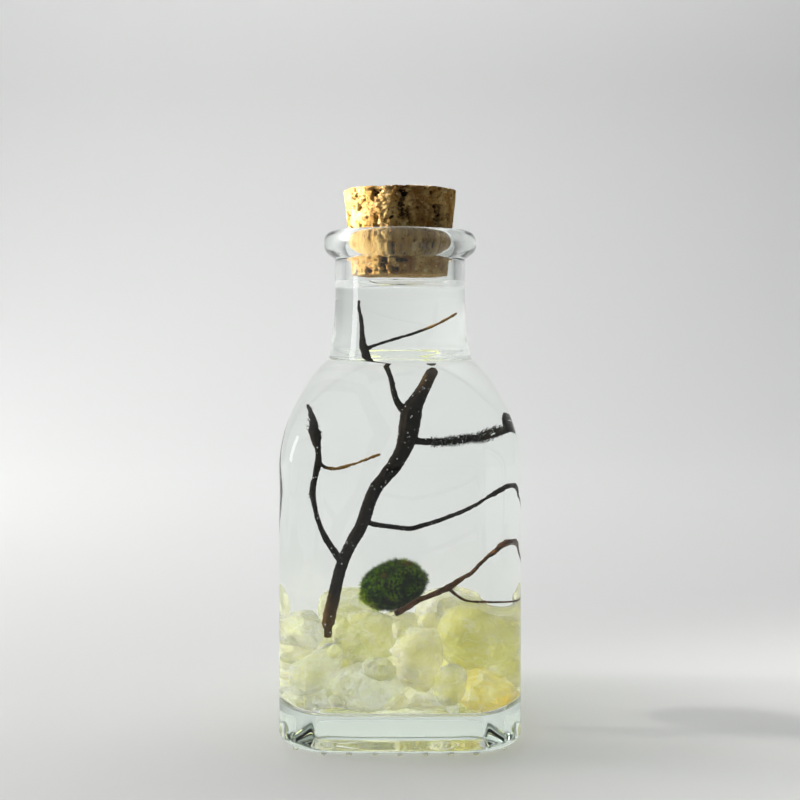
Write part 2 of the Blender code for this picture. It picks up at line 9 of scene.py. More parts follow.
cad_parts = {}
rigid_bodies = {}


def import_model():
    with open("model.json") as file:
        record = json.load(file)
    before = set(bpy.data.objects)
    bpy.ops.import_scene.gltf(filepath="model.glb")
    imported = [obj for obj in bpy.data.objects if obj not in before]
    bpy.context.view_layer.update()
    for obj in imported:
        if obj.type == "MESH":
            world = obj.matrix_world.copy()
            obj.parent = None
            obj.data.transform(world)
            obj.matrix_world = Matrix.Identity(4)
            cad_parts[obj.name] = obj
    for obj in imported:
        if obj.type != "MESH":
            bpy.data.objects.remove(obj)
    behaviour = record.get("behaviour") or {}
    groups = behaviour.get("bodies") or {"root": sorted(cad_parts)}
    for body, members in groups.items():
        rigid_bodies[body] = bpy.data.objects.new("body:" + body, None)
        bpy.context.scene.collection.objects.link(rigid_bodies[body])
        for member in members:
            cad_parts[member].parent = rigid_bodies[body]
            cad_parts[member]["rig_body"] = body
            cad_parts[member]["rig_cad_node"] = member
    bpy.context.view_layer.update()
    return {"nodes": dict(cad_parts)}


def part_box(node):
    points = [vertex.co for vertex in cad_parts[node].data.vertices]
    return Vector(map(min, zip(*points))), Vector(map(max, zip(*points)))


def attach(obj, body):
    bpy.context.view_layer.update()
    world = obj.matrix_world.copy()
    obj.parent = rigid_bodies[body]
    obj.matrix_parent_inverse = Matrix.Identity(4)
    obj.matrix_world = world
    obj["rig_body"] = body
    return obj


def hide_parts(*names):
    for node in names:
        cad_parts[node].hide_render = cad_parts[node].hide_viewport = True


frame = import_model()
mm = 0.001
print("frame loaded:", len(frame["nodes"]), "nodes")


# level, at the height of the neck, looking at the front
camera = dict(distance=280 * mm, height=111.7 * mm, lens=44.7, shift=-0.111)

bpy.ops.object.camera_add(location=(0, -camera["distance"], camera["height"]), rotation=(math.pi / 2, 0, 0))
cam = bpy.context.object
cam.name = "frontCamera"
cam.data.lens = camera["lens"]
cam.data.shift_y = camera["shift"]
bpy.context.scene.camera = cam


def deselectAll():
    if bpy.context.object and bpy.context.object.mode != "OBJECT":
        bpy.ops.object.mode_set(mode="OBJECT")
    bpy.ops.object.select_all(action="DESELECT")


def select(*objects):
    deselectAll()
    for obj in objects:
        obj.select_set(True)
    bpy.context.view_layer.objects.active = objects[0]


def editMesh(obj):
    select(obj)
    bpy.ops.object.mode_set(mode="EDIT")


def startFaces():
    # into edit mode, with every face of the active object selected
    bpy.ops.object.mode_set(mode="EDIT")
    bpy.ops.mesh.select_mode(type="FACE")
    bpy.ops.mesh.select_all(action="SELECT")


def faceOutwards():
    # every face points outwards, and edit mode ends
    bpy.ops.mesh.select_all(action="SELECT")
    bpy.ops.mesh.normals_make_consistent(inside=False)
    bpy.ops.object.mode_set(mode="OBJECT")


def pick(obj, kind, wanted):
    # in edit mode, only the edges or faces that are wanted are selected
    bpy.ops.mesh.select_mode(type=kind)
    bpy.ops.mesh.select_all(action="DESELECT")
    mesh = bmesh.from_edit_mesh(obj.data)
    for part in mesh.faces if kind == "FACE" else mesh.edges:
        part.select_set(wanted(part))
    bmesh.update_edit_mesh(obj.data)


def applyModifier(obj, kind, **values):
    select(obj)
    modifier = obj.modifiers.new(kind.lower(), kind)
    for key, value in values.items():
        setattr(modifier, key, value)
    bpy.ops.object.modifier_apply(modifier=modifier.name)


def copyNode(node, name):
    # a merged copy of a CAD node's mesh, to be worked up into a finer piece
    select(frame["nodes"][node])
    bpy.ops.object.duplicate()
    piece = bpy.context.object
    piece.name = name
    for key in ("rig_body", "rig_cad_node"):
        if key in piece:
            del piece[key]
    piece.parent = None
    piece.data.materials.clear()
    editMesh(piece)
    bpy.ops.mesh.select_all(action="SELECT")
    bpy.ops.mesh.remove_doubles(threshold=0.01 * mm)
    faceOutwards()
    return piece


def placeInMesh(obj):
    select(obj)
    bpy.ops.object.transform_apply(location=True, rotation=True, scale=True)


def dress(obj, *materials):
    obj.data.materials.clear()
    for material in materials:
        obj.data.materials.append(material)


def ready(obj, slot, *nodes):
    # the piece rides on the bottle and stands for its nodes
    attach(obj, "root")
    if nodes:
        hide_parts(*nodes)


def displace(obj, size, strength, middle=0.5, depth=2, only=None):
    # cloudy noise moves the surface along its normals; with only, just where the noise is under the
    # first value, fading out to the second
    texture = bpy.data.textures.new(obj.name + "Clouds", "CLOUDS")
    texture.noise_scale = size
    texture.noise_depth = depth
    if only:
        texture.use_color_ramp = True
        for element, position, shade in zip(texture.color_ramp.elements, only, (0, 1)):
            element.position = position
            element.color = (shade, shade, shade, 1)
    applyModifier(obj, "DISPLACE", texture=texture, strength=strength, mid_level=middle,
                  texture_coords="GLOBAL")


def principled(name, **values):
    material = bpy.data.materials.new(name)
    material.use_nodes = True
    shader = material.node_tree.nodes["Principled BSDF"]
    for key, value in values.items():
        socket = shader.inputs[key.replace("_", " ")]
        socket.default_value = (*value, 1) if socket.type == "RGBA" else value
    return material


def node(owner, kind, inputs=None, **values):
    # a new node of a material, the world or a node group, with these input values and settings
    made = getattr(owner, "node_tree", owner).nodes.new(kind)
    for key, value in (inputs or {}).items():
        made.inputs[key].default_value = value
    for key, value in values.items():
        setattr(made, key, value)
    return made


def link(owner, source, target):
    getattr(owner, "node_tree", owner).links.new(source, target)


def shaderOf(material):
    return material.node_tree.nodes["Principled BSDF"]


def absorb(material, colour, density):
    volume = node(material, "ShaderNodeVolumeAbsorption", {"Color": (*colour, 1), "Density": density})
    link(material, volume.outputs["Volume"], material.node_tree.nodes["Material Output"].inputs["Volume"])


def letShadowsThrough(material, share, deepest=0):
    # lamps light what is inside: shadow rays see only part of the surface, and with a deepest
    # value, light that has been caught inside for that many bounces gets out
    path = node(material, "ShaderNodeLightPath")
    fade = node(material, "ShaderNodeMath", {1: -share, 2: 1}, operation="MULTIPLY_ADD")
    link(material, path.outputs["Is Shadow Ray"], fade.inputs[0])
    result = fade.outputs[0]
    if deepest:
        caught = node(material, "ShaderNodeMath", {1: deepest}, operation="LESS_THAN")
        link(material, path.outputs["Ray Depth"], caught.inputs[0])
        both = node(material, "ShaderNodeMath", operation="MULTIPLY")
        link(material, result, both.inputs[0])
        link(material, caught.outputs[0], both.inputs[1])
        result = both.outputs[0]
    link(material, result, shaderOf(material).inputs["Alpha"])


def mottleGroup():
    # noise in Object coordinates between two colours, with a height for bump
    group = bpy.data.node_groups.new("mottle", "ShaderNodeTree")
    for name, kind in (("Light", "NodeSocketColor"), ("Dark", "NodeSocketColor"),
                       ("Scale", "NodeSocketFloat"), ("Contrast", "NodeSocketFloat")):
        group.interface.new_socket(name, in_out="INPUT", socket_type=kind)
    group.interface.new_socket("Color", in_out="OUTPUT", socket_type="NodeSocketColor")
    group.interface.new_socket("Height", in_out="OUTPUT", socket_type="NodeSocketFloat")
    inputs, outputs = node(group, "NodeGroupInput"), node(group, "NodeGroupOutput")
    place = node(group, "ShaderNodeTexCoord")
    pattern = node(group, "ShaderNodeTexNoise", {"Detail": 5})
    spread = node(group, "ShaderNodeMath", {1: 0.5}, operation="SUBTRACT")
    widen = node(group, "ShaderNodeMath", {2: 0.5}, operation="MULTIPLY_ADD", use_clamp=True)
    mix = node(group, "ShaderNodeMix", data_type="RGBA")
    link(group, place.outputs["Object"], pattern.inputs["Vector"])
    link(group, inputs.outputs["Scale"], pattern.inputs["Scale"])
    link(group, pattern.outputs["Fac"], spread.inputs[0])
    link(group, spread.outputs[0], widen.inputs[0])
    link(group, inputs.outputs["Contrast"], widen.inputs[1])
    link(group, widen.outputs[0], mix.inputs["Factor"])
    link(group, inputs.outputs["Dark"], mix.inputs["A"])
    link(group, inputs.outputs["Light"], mix.inputs["B"])
    link(group, mix.outputs["Result"], outputs.inputs["Color"])
    link(group, widen.outputs[0], outputs.inputs["Height"])
    return group


mottle = mottleGroup()


def addMottle(material, light, dark, scale, contrast):
    look = {"Light": (*light, 1), "Dark": (*dark, 1), "Scale": scale, "Contrast": contrast}
    made = node(material, "ShaderNodeGroup", node_tree=mottle)
    for key, value in look.items():
        made.inputs[key].default_value = value
    return made


def addBump(material, height, distance, strength=1.0):
    bump = node(material, "ShaderNodeBump", {"Distance": distance, "Strength": strength})
    link(material, height, bump.inputs["Height"])
    link(material, bump.outputs["Normal"], shaderOf(material).inputs["Normal"])


# all in millimetres
bottle = dict(
    heel=3.5, heelRoundness=0.2, puntRise=1.8,
    # the first rings of the underside and of the inner floor: half-width and roundness
    punt=[(12, 1), (17, 0.55)], innerFloor=[(12, 1), (17, 0.5), (21.5, 0.2)],
    shoulderStart=71, shoulderRadius=37.9, shoulderEase=2, creaseHalf=20.77,
    wall=3, floor=8.5, innerHeel=5, bore=15.2,
    throatStart=0.9, throat=[(0.25, 99.8), (0, 101.6)],  # how much wider than the bore, and the height
    outside=dict(half=32, corner=10, sideRadius=400),
    inside=dict(half=29, corner=10, sideRadius=397),  # the glass is a little thicker in the corners
    # half-width and height along the neck and the lip, and along the ring that the bottle stands on
    neck=[(20.77, 97.9), (20.25, 98.3), (20, 98.9), (19.75, 100.4), (19.2, 103.5), (18.6, 109), (18.25, 115),
          (18.2, 120), (18.2, 125.4), (18.45, 126.4), (19.3, 127), (20.9, 128.5), (21.4, 130.7), (21, 132.7),
          (19.7, 133.8), (18, 134), (16.6, 133.6), (15.6, 132.6)],
    ring=[(21.2, 1.8), (22, 1.7), (22.9, 1.3), (24.6, 0.6), (25.4, 0.15), (26, 0), (27, 0)],
    boreHeights=(105, 110, 115, 118), rimHeights=(120.2, 125, 129, 131),
    smoothUnder=35,  # degrees
)
cuts = dict(side=8, corner=20, heel=12, wall=14, shoulder=30, neck=4)
water = dict(
    level=117.9, gap=0.02,
    rise=2.3, reach=1.1,  # its skin climbs the glass, less and less away from it
    skin=(0.0, 0.12, 0.3, 0.6, 1.0, 1.5, 2.2, 3.2, 5, 8, 11),
)


def arcsOf(shape):
    # an outline has four bowed sides and four round corners: the centres of a side's and a corner's
    # arcs, and the direction in which they meet
    side = shape["half"] - shape["sideRadius"]
    corner = (side + math.sqrt(2 * (shape["sideRadius"] - shape["corner"]) ** 2 - side ** 2)) / 2
    return side, corner, math.atan2(corner, corner - side)


def outlinePoint(shape, half, roundness, facing):
    # the point of the outline that faces this way, between the bottle's shape and a circle
    side, corner, meeting = arcsOf(shape)
    quarter = math.floor((facing + meeting) / (math.pi / 2))
    local = facing - quarter * math.pi / 2
    onSide = local <= meeting
    centre = (side, 0) if onSide else (corner, corner)
    radius = shape["sideRadius"] if onSide else shape["corner"]
    along = roundness * half - (1 - roundness) * (shape["half"] - half)
    x = (1 - roundness) * (centre[0] + radius * math.cos(local)) + along * math.cos(local)
    y = (1 - roundness) * (centre[1] + radius * math.sin(local)) + along * math.sin(local)
    turn = quarter * math.pi / 2
    return x * math.cos(turn) - y * math.sin(turn), x * math.sin(turn) + y * math.cos(turn)


def outlineFacings(shape):
    meeting = arcsOf(shape)[2]
    facings = []
    for quarter in range(4):
        start = quarter * math.pi / 2
        for i in range(cuts["side"]):
            facings.append(start - meeting + 2 * meeting * i / cuts["side"])
        for i in range(cuts["corner"]):
            facings.append(start + meeting + (math.pi / 2 - 2 * meeting) * i / cuts["corner"])
    return facings


def shoulderRows(inset, endHalf):
    steps = cuts["shoulder"]
    radius = bottle["shoulderRadius"] - inset
    centre = bottle["outside"]["half"] - bottle["shoulderRadius"]
    end = math.acos((endHalf - centre) / radius)
    rows = []
    for i in range(steps + 1):
        angle = end * i / steps
        roundness = (math.sin(angle) / math.sin(end)) ** bottle["shoulderEase"]
        height = bottle["shoulderStart"] + radius * math.sin(angle)
        rows.append((centre + radius * math.cos(angle), roundness, height))
    return rows


def heelRows(half, radius, floor, roundness):
    steps = cuts["heel"]
    rows = []
    for i in range(steps + 1):
        angle = math.pi / 2 * i / steps
        share = 1 - math.sin(angle)
        rows.append((half - radius * share, roundness * share, floor + radius * (1 - math.cos(angle))))
    return rows


def wallRows(half, low, high):
    return [(half, 0, low + (high - low) * i / cuts["wall"]) for i in range(1, cuts["wall"])]


def smoothRows(points):
    # a smooth line through (half, height) points, all round
    steps = cuts["neck"]
    rows = []
    for i in range(len(points) - 1):
        before, after = points[max(i - 1, 0)], points[min(i + 2, len(points) - 1)]
        for k in range(steps):
            t = k / steps
            row = []
            for axis in range(2):
                a, b, c, d = before[axis], points[i][axis], points[i + 1][axis], after[axis]
                row.append(0.5 * (2 * b + (c - a) * t + (2 * a - 5 * b + 4 * c - d) * t * t
                                  + (3 * b - a - 3 * c + d) * t ** 3))
            rows.append((row[0], 1, row[1]))
    return rows + [(points[-1][0], 1, points[-1][1])]


def outerRows():
    atHeel = bottle["heelRoundness"]
    rise = bottle["puntRise"]
    half = bottle["outside"]["half"]
    return (
        [(across, roundness, rise) for across, roundness in bottle["punt"]]
        + [(across, atHeel, height) for across, height in bottle["ring"]]
        + heelRows(half, bottle["heel"], 0, atHeel)
        + wallRows(half, bottle["heel"], bottle["shoulderStart"])
        + shoulderRows(0, bottle["creaseHalf"])
        + smoothRows(bottle["neck"])[1:]
    )


def innerRows(offset):
    # offset draws the rows in from the glass, for the water
    shoulder = shoulderRows(bottle["wall"] + offset, bottle["bore"] + bottle["throatStart"] - offset)
    throat = [(shoulder[-1][0], shoulder[-1][2])]
    throat += [(bottle["bore"] + wider - offset, height) for wider, height in bottle["throat"]]
    half = bottle["inside"]["half"] - offset
    low = bottle["floor"] + offset
    return (
        [(across, roundness, low) for across, roundness in bottle["innerFloor"]]
        + heelRows(half, bottle["innerHeel"] - offset, low, 0)
        + wallRows(half, bottle["floor"] + bottle["innerHeel"], bottle["shoulderStart"])
        + shoulder
        + smoothRows(throat)[1:]
        + [(bottle["bore"] - offset, 1, height) for height in bottle["boreHeights"]]
    )


def polar(point):
    return math.atan2(point[1], point[0])


def growShell(name, shape, rows):
    # a disc is extruded row by row, and each new edge is set on the outline of its height
    facings = outlineFacings(shape)
    bpy.ops.mesh.primitive_circle_add(vertices=len(facings), radius=rows[0][0] * mm, fill_type="NGON")
    shell = bpy.context.object
    shell.name = name
    shell.data.name = name
    startFaces()
    height = 0
    for number, (half, roundness, nextHeight) in enumerate(rows):
        if number:
            rise = (nextHeight - height) * mm
            bpy.ops.mesh.extrude_region_move(TRANSFORM_OT_translate={"value": (0, 0, rise)})
        mesh = bmesh.from_edit_mesh(shell.data)
        cap = next(face for face in mesh.faces if face.select)
        points = sorted((outlinePoint(shape, half, roundness, facing) for facing in facings), key=polar)
        for vert, (x, y) in zip(sorted(cap.verts, key=lambda vert: polar(vert.co)), points):
            vert.co = (x * mm, y * mm, nextHeight * mm)
        bmesh.update_edit_mesh(shell.data)
        height = nextHeight
    return shell


def removeCap():
    # the last face of the growth is still selected
    bpy.ops.mesh.delete(type="ONLY_FACE")
    faceOutwards()


def makeBottle():
    deselectAll()
    outer = growShell("clearBottle", bottle["outside"], outerRows())
    removeCap()
    rim = [(bottle["bore"], 1, height) for height in bottle["rimHeights"]]
    inner = growShell("bottleHollow", bottle["inside"], innerRows(0) + rim)
    removeCap()
    editMesh(inner)
    bpy.ops.mesh.select_all(action="SELECT")
    bpy.ops.mesh.flip_normals()
    bpy.ops.object.mode_set(mode="OBJECT")
    select(outer, inner)
    bpy.ops.object.join()
    editMesh(outer)
    pick(outer, "EDGE", lambda edge: len(edge.link_faces) == 1)
    bpy.ops.mesh.bridge_edge_loops(number_cuts=2, smoothness=0.3)
    faceOutwards()
    return outer


knurl = dict(radius=1, tip=0.8, height=1.6, softness=0.25, pitch=6.4, eachWay=3, line=30.1, roundness=0.12,
             sides=20)


def makeKnurls():
    # little studs under the heel: one is modelled, and its copies stand along the sides and on the corners
    deselectAll()
    bpy.ops.mesh.primitive_cone_add(vertices=knurl["sides"], radius1=knurl["tip"] * mm,
                                    radius2=knurl["radius"] * mm, depth=knurl["height"] * mm)
    first = bpy.context.object
    first.name = "knurl"
    editMesh(first)
    pick(first, "FACE", lambda face: face.normal.z < -0.9)
    bpy.ops.mesh.bevel(offset=knurl["softness"] * mm, segments=3, affect="EDGES")
    bpy.ops.object.mode_set(mode="OBJECT")
    side = bottle["outside"]["sideRadius"] - bottle["outside"]["half"] + knurl["line"]
    radius = (1 - knurl["roundness"]) * side + knurl["roundness"] * knurl["line"]
    facings = []
    for quarter in range(4):
        for step in range(-knurl["eachWay"], knurl["eachWay"] + 1):
            facings.append(quarter * math.pi / 2 + math.asin(step * knurl["pitch"] / radius))
        facings.append(quarter * math.pi / 2 + math.pi / 4)
    studs = []
    for facing in facings:
        x, y = outlinePoint(bottle["outside"], knurl["line"], knurl["roundness"], facing)
        select(first)
        bpy.ops.object.duplicate()
        stud = bpy.context.object
        stud.location = (x * mm, y * mm, knurl["height"] / 2 * mm)
        placeInMesh(stud)
        studs.append(stud)
    bpy.data.objects.remove(first)
    select(*studs)
    bpy.ops.object.join()
    return bpy.context.object


def makeWater():
    deselectAll()
    edge = bottle["bore"] - water["gap"]
    rows = innerRows(water["gap"])
    for away in water["skin"]:
        rise = water["rise"] * math.exp(-away / water["reach"])
        rows.append((edge - away, 1, water["level"] + rise))
    return growShell("clearWater", bottle["inside"], rows)


optics = dict(glass=1.52, water=1.333, stone=1.54)
clearLook = dict(
    glassTint=(0.99, 1.0, 0.992), waterTint=(0.99, 1.0, 0.99),
    green=(0.66, 0.88, 0.72), greenDensity=6,  # what thick glass takes from the light
    glassShadows=0.92, waterShadows=0.96, deepest=6,
)


def glassMaterial():
    # glass meets air outside and water on the wetted inner wall, where light bends less
    made = principled("bottleGlass", Base_Color=clearLook["glassTint"], Roughness=0.0, IOR=optics["glass"],
                      Transmission_Weight=1.0)
    wet = node(made, "ShaderNodeAttribute", attribute_name="wet")
    wetted = optics["glass"] / optics["water"]
    bend = node(made, "ShaderNodeMath", {1: wetted - optics["glass"], 2: optics["glass"]},
                operation="MULTIPLY_ADD")
    link(made, wet.outputs["Fac"], bend.inputs[0])
    link(made, bend.outputs[0], shaderOf(made).inputs["IOR"])
    absorb(made, clearLook["green"], clearLook["greenDensity"])
    letShadowsThrough(made, clearLook["glassShadows"], deepest=clearLook["deepest"])
    return made


# light bends at the water's top; at its sides the wetted glass has already bent it
waterTop = principled("waterTop", Base_Color=clearLook["waterTint"], Roughness=0.0, IOR=optics["water"],
                      Transmission_Weight=1.0)
waterBody = principled("waterBody", Base_Color=(1, 1, 1), Roughness=0.0, IOR=1.0, Transmission_Weight=1.0)
for material in (waterTop, waterBody):
    letShadowsThrough(material, clearLook["waterShadows"])

glass = makeBottle()
studs = makeKnurls()
applyModifier(glass, "BOOLEAN", object=studs, operation="UNION", solver="EXACT")
bpy.data.objects.remove(studs)
dress(glass, glassMaterial())
wet = glass.data.attributes.new("wet", "FLOAT", "FACE")
for face in glass.data.polygons:
    centre = face.center
    inward = face.normal.dot(Vector((centre.x, centre.y, 0))) < 0
    onFloor = abs(centre.z - bottle["floor"] * mm) < 0.01 * mm
    inside = centre.z > bottle["floor"] * mm and inward
    below = centre.z < (water["level"] + water["rise"]) * mm
    wet.data[face.index].value = 1.0 if (inside or onFloor) and below else 0.0
select(glass)
bpy.ops.object.shade_smooth_by_angle(angle=math.radians(bottle["smoothUnder"]))
ready(glass, "clear_glass", "bottle")
print("bottle:", len(glass.data.polygons), "faces")

pool = makeWater()
faceOutwards()
dress(pool, waterBody, waterTop)
for face in pool.data.polygons:
    face.material_index = 1 if face.normal.z > 0.05 and face.center.z > water["level"] * mm - 0.01 * mm else 0
select(pool)
bpy.ops.object.shade_smooth()
ready(pool, "water", "water")
print("water:", len(pool.data.polygons), "faces")


cork = dict(
    bottom=121.1, top=145.8, topRadius=16.35, taper=0.109, rounding=0.7, sides=240, rows=110, rings=16,
    # the surface is moved by noise: size, height, depth of the noise, and where it bites
    lumps=[(7, 0.55, 2, None), (2.6, 1.1, 4, (0.27, 0.36)), (1.1, 0.5, 3, (0.30, 0.42))], fine=(0.5, 0.22, 1),
    # the pit colour darkens pits and tears by their depth: partly the cork's own dark pores, partly painted
    # shade in the recesses
    tan=(0.38, 0.20, 0.042), straw=(0.68, 0.47, 0.19), pit=(0.032, 0.014, 0.005), pitShadeFrom=0.85, pitShadeTo=1.6,
    mottle=(260, 3.2), grain=(1100, 0.25, 0.75, 6), grainHeight=0.22,
    # flecks over the tan: scale, low, high, detail, squash and colour
    flecks=[(230, 0.50, 0.66, 7, (1, 1, 0.35), (0.22, 0.085, 0.018)),
            (1300, 0.56, 0.70, 4, (1, 1, 1), (0.16, 0.07, 0.022)),
            (700, 0.62, 0.72, 3, (1, 1, 1), (0.74, 0.58, 0.32))],
    # torn places: the direction each faces in degrees, its low and high end, its half-width and its depth
    tears=[(-88, 136.5, 147, 3.4, 1.1), (-46, 135, 141, 6, 0.9), (-115, 142, 145, 4, 1.0),
           (-108, 120, 127.5, 4, 1.2), (-60, 129, 131.5, 7, 0.8), (70, 130, 142, 5, 1.0),
           (170, 133, 139, 7, 1.0)],
    # their ragged edge: scale of its coarse and fine noise, how far it wanders, and how steep it is
    ragged=(1300, 3100), wander=1.8, steep=1.6, tornFrom=0.8,
)


def corkRadius(height):
    return cork["topRadius"] - (cork["top"] - height) * cork["taper"]


def tearCork(plug):
    for vert in plug.data.vertices:
        facing = math.degrees(math.atan2(vert.co.y, vert.co.x))
        height = vert.co.z / mm
        coarse, fine = cork["ragged"]
        ragged = noise.noise(vert.co * coarse) + 0.5 * noise.noise(vert.co * fine)
        for centre, low, high, reach, depth in cork["tears"]:
            aside = abs((facing - centre + 180) % 360 - 180) / reach
            ends = abs(height - (low + high) / 2) / ((high - low) / 2)
            cut = 1 - aside ** 2 - ends ** 4 + cork["wander"] * ragged
            if cut > 0 and math.hypot(vert.co.x, vert.co.y) > cork["tornFrom"] * corkRadius(height) * mm:
                across = Vector((vert.co.x, vert.co.y, 0)).normalized()
                vert.co -= across * depth * min(1, cork["steep"] * cut) * mm


def makeCork():
    bpy.ops.mesh.primitive_circle_add(vertices=cork["sides"], radius=1, fill_type="NGON")
    plug = bpy.context.object
    plug.name = "corkStopper"
    plug.data.name = "corkStopper"
    startFaces()
    # rings over the bottom, up the side and over the top: radius and height in millimetres
    rounding = cork["rounding"]
    parts = cork["rings"]
    rings = [((corkRadius(cork["bottom"]) - rounding) * part / parts, cork["bottom"])
             for part in range(1, parts)]
    for row in range(cork["rows"] + 1):
        height = cork["bottom"] + (cork["top"] - cork["bottom"]) * row / cork["rows"]
        edge = min(height - cork["bottom"], cork["top"] - height)
        away = max(0.0, 1 - edge / rounding)
        rings.append((corkRadius(height) - rounding * (1 - math.sqrt(max(0.0, 1 - away * away))), height))
    rings += [((corkRadius(cork["top"]) - rounding) * part / parts, cork["top"])
              for part in range(parts - 1, 0, -1)]
    size, level = 1, 0
    for number, (radius, height) in enumerate(rings):
        rise = (height - level) * mm
        if number:
            bpy.ops.mesh.extrude_region_move(TRANSFORM_OT_translate={"value": (0, 0, rise)})
        else:
            bpy.ops.transform.translate(value=(0, 0, rise))
        bpy.ops.transform.resize(value=(radius * mm / size, radius * mm / size, 1))
        size, level = radius * mm, height
    faceOutwards()
    for size, height, depth, only in cork["lumps"]:
        displace(plug, size * mm, height * mm, middle=1, depth=depth, only=only)
    tearCork(plug)
    size, height, depth = cork["fine"]
    displace(plug, size * mm, height * mm, middle=1, depth=depth)
    # how deep each point lies in a pit or tear, used for the painted shade there
    recessDepths = plug.data.attributes.new("recessDepth", "FLOAT", "POINT")
    for vert in plug.data.vertices:
        height = vert.co.z / mm
        inward = corkRadius(height) - math.hypot(vert.co.x, vert.co.y) / mm
        recessDepths.data[vert.index].value = min(inward, cork["top"] - height, height - cork["bottom"])
    select(plug)
    bpy.ops.object.shade_smooth()
    return plug


def noiseMask(material, scale, low, high, detail=4, squash=(1, 1, 1)):
    # 0 where the noise is under low, 1 where it is over high
    place = node(material, "ShaderNodeTexCoord")
    stretch = node(material, "ShaderNodeMapping", {"Scale": squash})
    pattern = node(material, "ShaderNodeTexNoise", {"Scale": scale, "Detail": detail})
    mask = node(material, "ShaderNodeMapRange", {"From Min": low, "From Max": high})
    link(material, place.outputs["Object"], stretch.inputs["Vector"])
    link(material, stretch.outputs["Vector"], pattern.inputs["Vector"])
    link(material, pattern.outputs["Fac"], mask.inputs["Value"])
    return mask.outputs[0]


def mixColour(material, factor, first, second):
    # each of the two is a colour or a socket
    mix = node(material, "ShaderNodeMix", data_type="RGBA")
    link(material, factor, mix.inputs["Factor"])
    for socket, value in ((mix.inputs["A"], first), (mix.inputs["B"], second)):
        if isinstance(value, tuple):
            socket.default_value = (*value, 1)
        else:
            link(material, value, socket)
    return mix.outputs["Result"]


def corkMaterial():
    made = principled("corkBark", Roughness=0.92, IOR=1.25)
    colour = addMottle(made, cork["straw"], cork["tan"], *cork["mottle"]).outputs["Color"]
    for scale, low, high, detail, squash, shade in cork["flecks"]:
        colour = mixColour(made, noiseMask(made, scale, low, high, detail, squash), colour, shade)
    # the deeper the surface lies in pits and tears, the darker it is painted: partly dark pores, partly
    # painted shade
    depth = node(made, "ShaderNodeAttribute", attribute_name="recessDepth")
    pitShadeMask = node(made, "ShaderNodeMapRange", {"From Min": cork["pitShadeFrom"], "From Max": cork["pitShadeTo"]})
    link(made, depth.outputs["Fac"], pitShadeMask.inputs["Value"])
    colour = mixColour(made, pitShadeMask.outputs[0], colour, cork["pit"])
    link(made, colour, shaderOf(made).inputs["Base Color"])
    addBump(made, noiseMask(made, *cork["grain"]), cork["grainHeight"] * mm, 0.9)
    return made


plug = makeCork()
dress(plug, corkMaterial())
ready(plug, "cork", "cork")
print("cork:", len(plug.data.polygons), "faces")


stones = dict(
    swell=1.3,  # each is let out towards its neighbours
    flats=10, flatDepth=0.2, flatVaries=(0.5, 1.3), worn=0.9, rounding=5,
    dents=0.9, dentSize=5.5, ripple=0.35, rippleSize=1.6, wallGap=0.12, chipShape=(1, 0.8, 0.72),
    seed=20, chipSeed=60,
    white=(0.98, 0.98, 0.94), crack=(1.0, 1.0, 0.97), shadows=0.95, density=6, roughness=0.10,
    glow=0.5, glowDepth=5, glowColour=(1.0, 0.9, 0.5),  # light that wanders inside the stone
    # noise: scale, low, high, detail and squash, or for the lines scale and width
    mottle=(150, 3.4), flecks=(800, 0.54, 0.74, 5), veils=(190, 0.50, 0.62, 7, (1, 1, 2.4)),
    lines=(75, 0.010), cracks=(130, 0.016), grain=(330, 0.35, 0.65, 8), grainHeight=0.6,
    finish=dict(
        yellow=dict(light=(0.97, 0.96, 0.58), dark=(0.88, 0.86, 0.40), veil=0.4, clear=0.75),
        cream=dict(light=(0.98, 0.97, 0.80), dark=(0.94, 0.92, 0.60), veil=0.65, clear=0.75),
        clear=dict(light=(0.96, 0.97, 0.86), dark=(0.84, 0.85, 0.62), veil=0.75, clear=0.8),
        olive=dict(light=(0.95, 0.96, 0.72), dark=(0.78, 0.78, 0.46), veil=0.55, clear=0.75),
        amber=dict(light=(0.99, 0.95, 0.52), dark=(0.96, 0.80, 0.24), veil=0.4, clear=0.7),
    ),
    kinds=dict(
        front_round="yellow", front_tall="cream", front_oval="clear", front_upper="olive", front_long="clear",
        front_bottom_left="clear", front_flat="cream", front_chip="clear", front_sliver="olive",
        front_amber="amber", left_corner="clear", middle_left="clear", middle="cream", middle_right="yellow",
        left_wall="olive", right_wall="cream", back_left="cream", back="cream", back_right="yellow",
        back_upper_left="olive", back_upper_right="cream",
    ),
    # small chips in the gaps: x, y, z, half-length, kind
    chips=[(-25, -22.5, 11.8, 3.2, "clear"), (-25.6, -15, 15, 3.6, "cream"),
           (-14.2, -17.5, 21.6, 4.4, "olive"), (-1, -22.5, 11.2, 3.4, "cream"),
           (14.6, -19.6, 13.4, 4, "yellow"), (26, -21.6, 12, 3, "amber"),
           (25.6, -13.5, 15, 4, "cream"), (-1.5, -9.5, 27.2, 4, "cream"),
           (0.6, -17.6, 28.6, 3.8, "olive"), (25.8, -20.6, 19.4, 3.2, "yellow"),
           (-25.4, -18.5, 22.8, 3.6, "cream"), (8, -14, 30, 4.2, "cream"),
           (-16, -24.5, 12.2, 2.6, "clear"), (13.6, -25.6, 10.6, 2.2, "clear"),
           (9.8, -24.6, 18.2, 2.4, "yellow"), (-16.8, -23.8, 24.6, 2.6, "olive"),
           (-0.6, -24.4, 25.4, 2.2, "cream"), (-27, -8, 24, 3.4, "olive")],
)


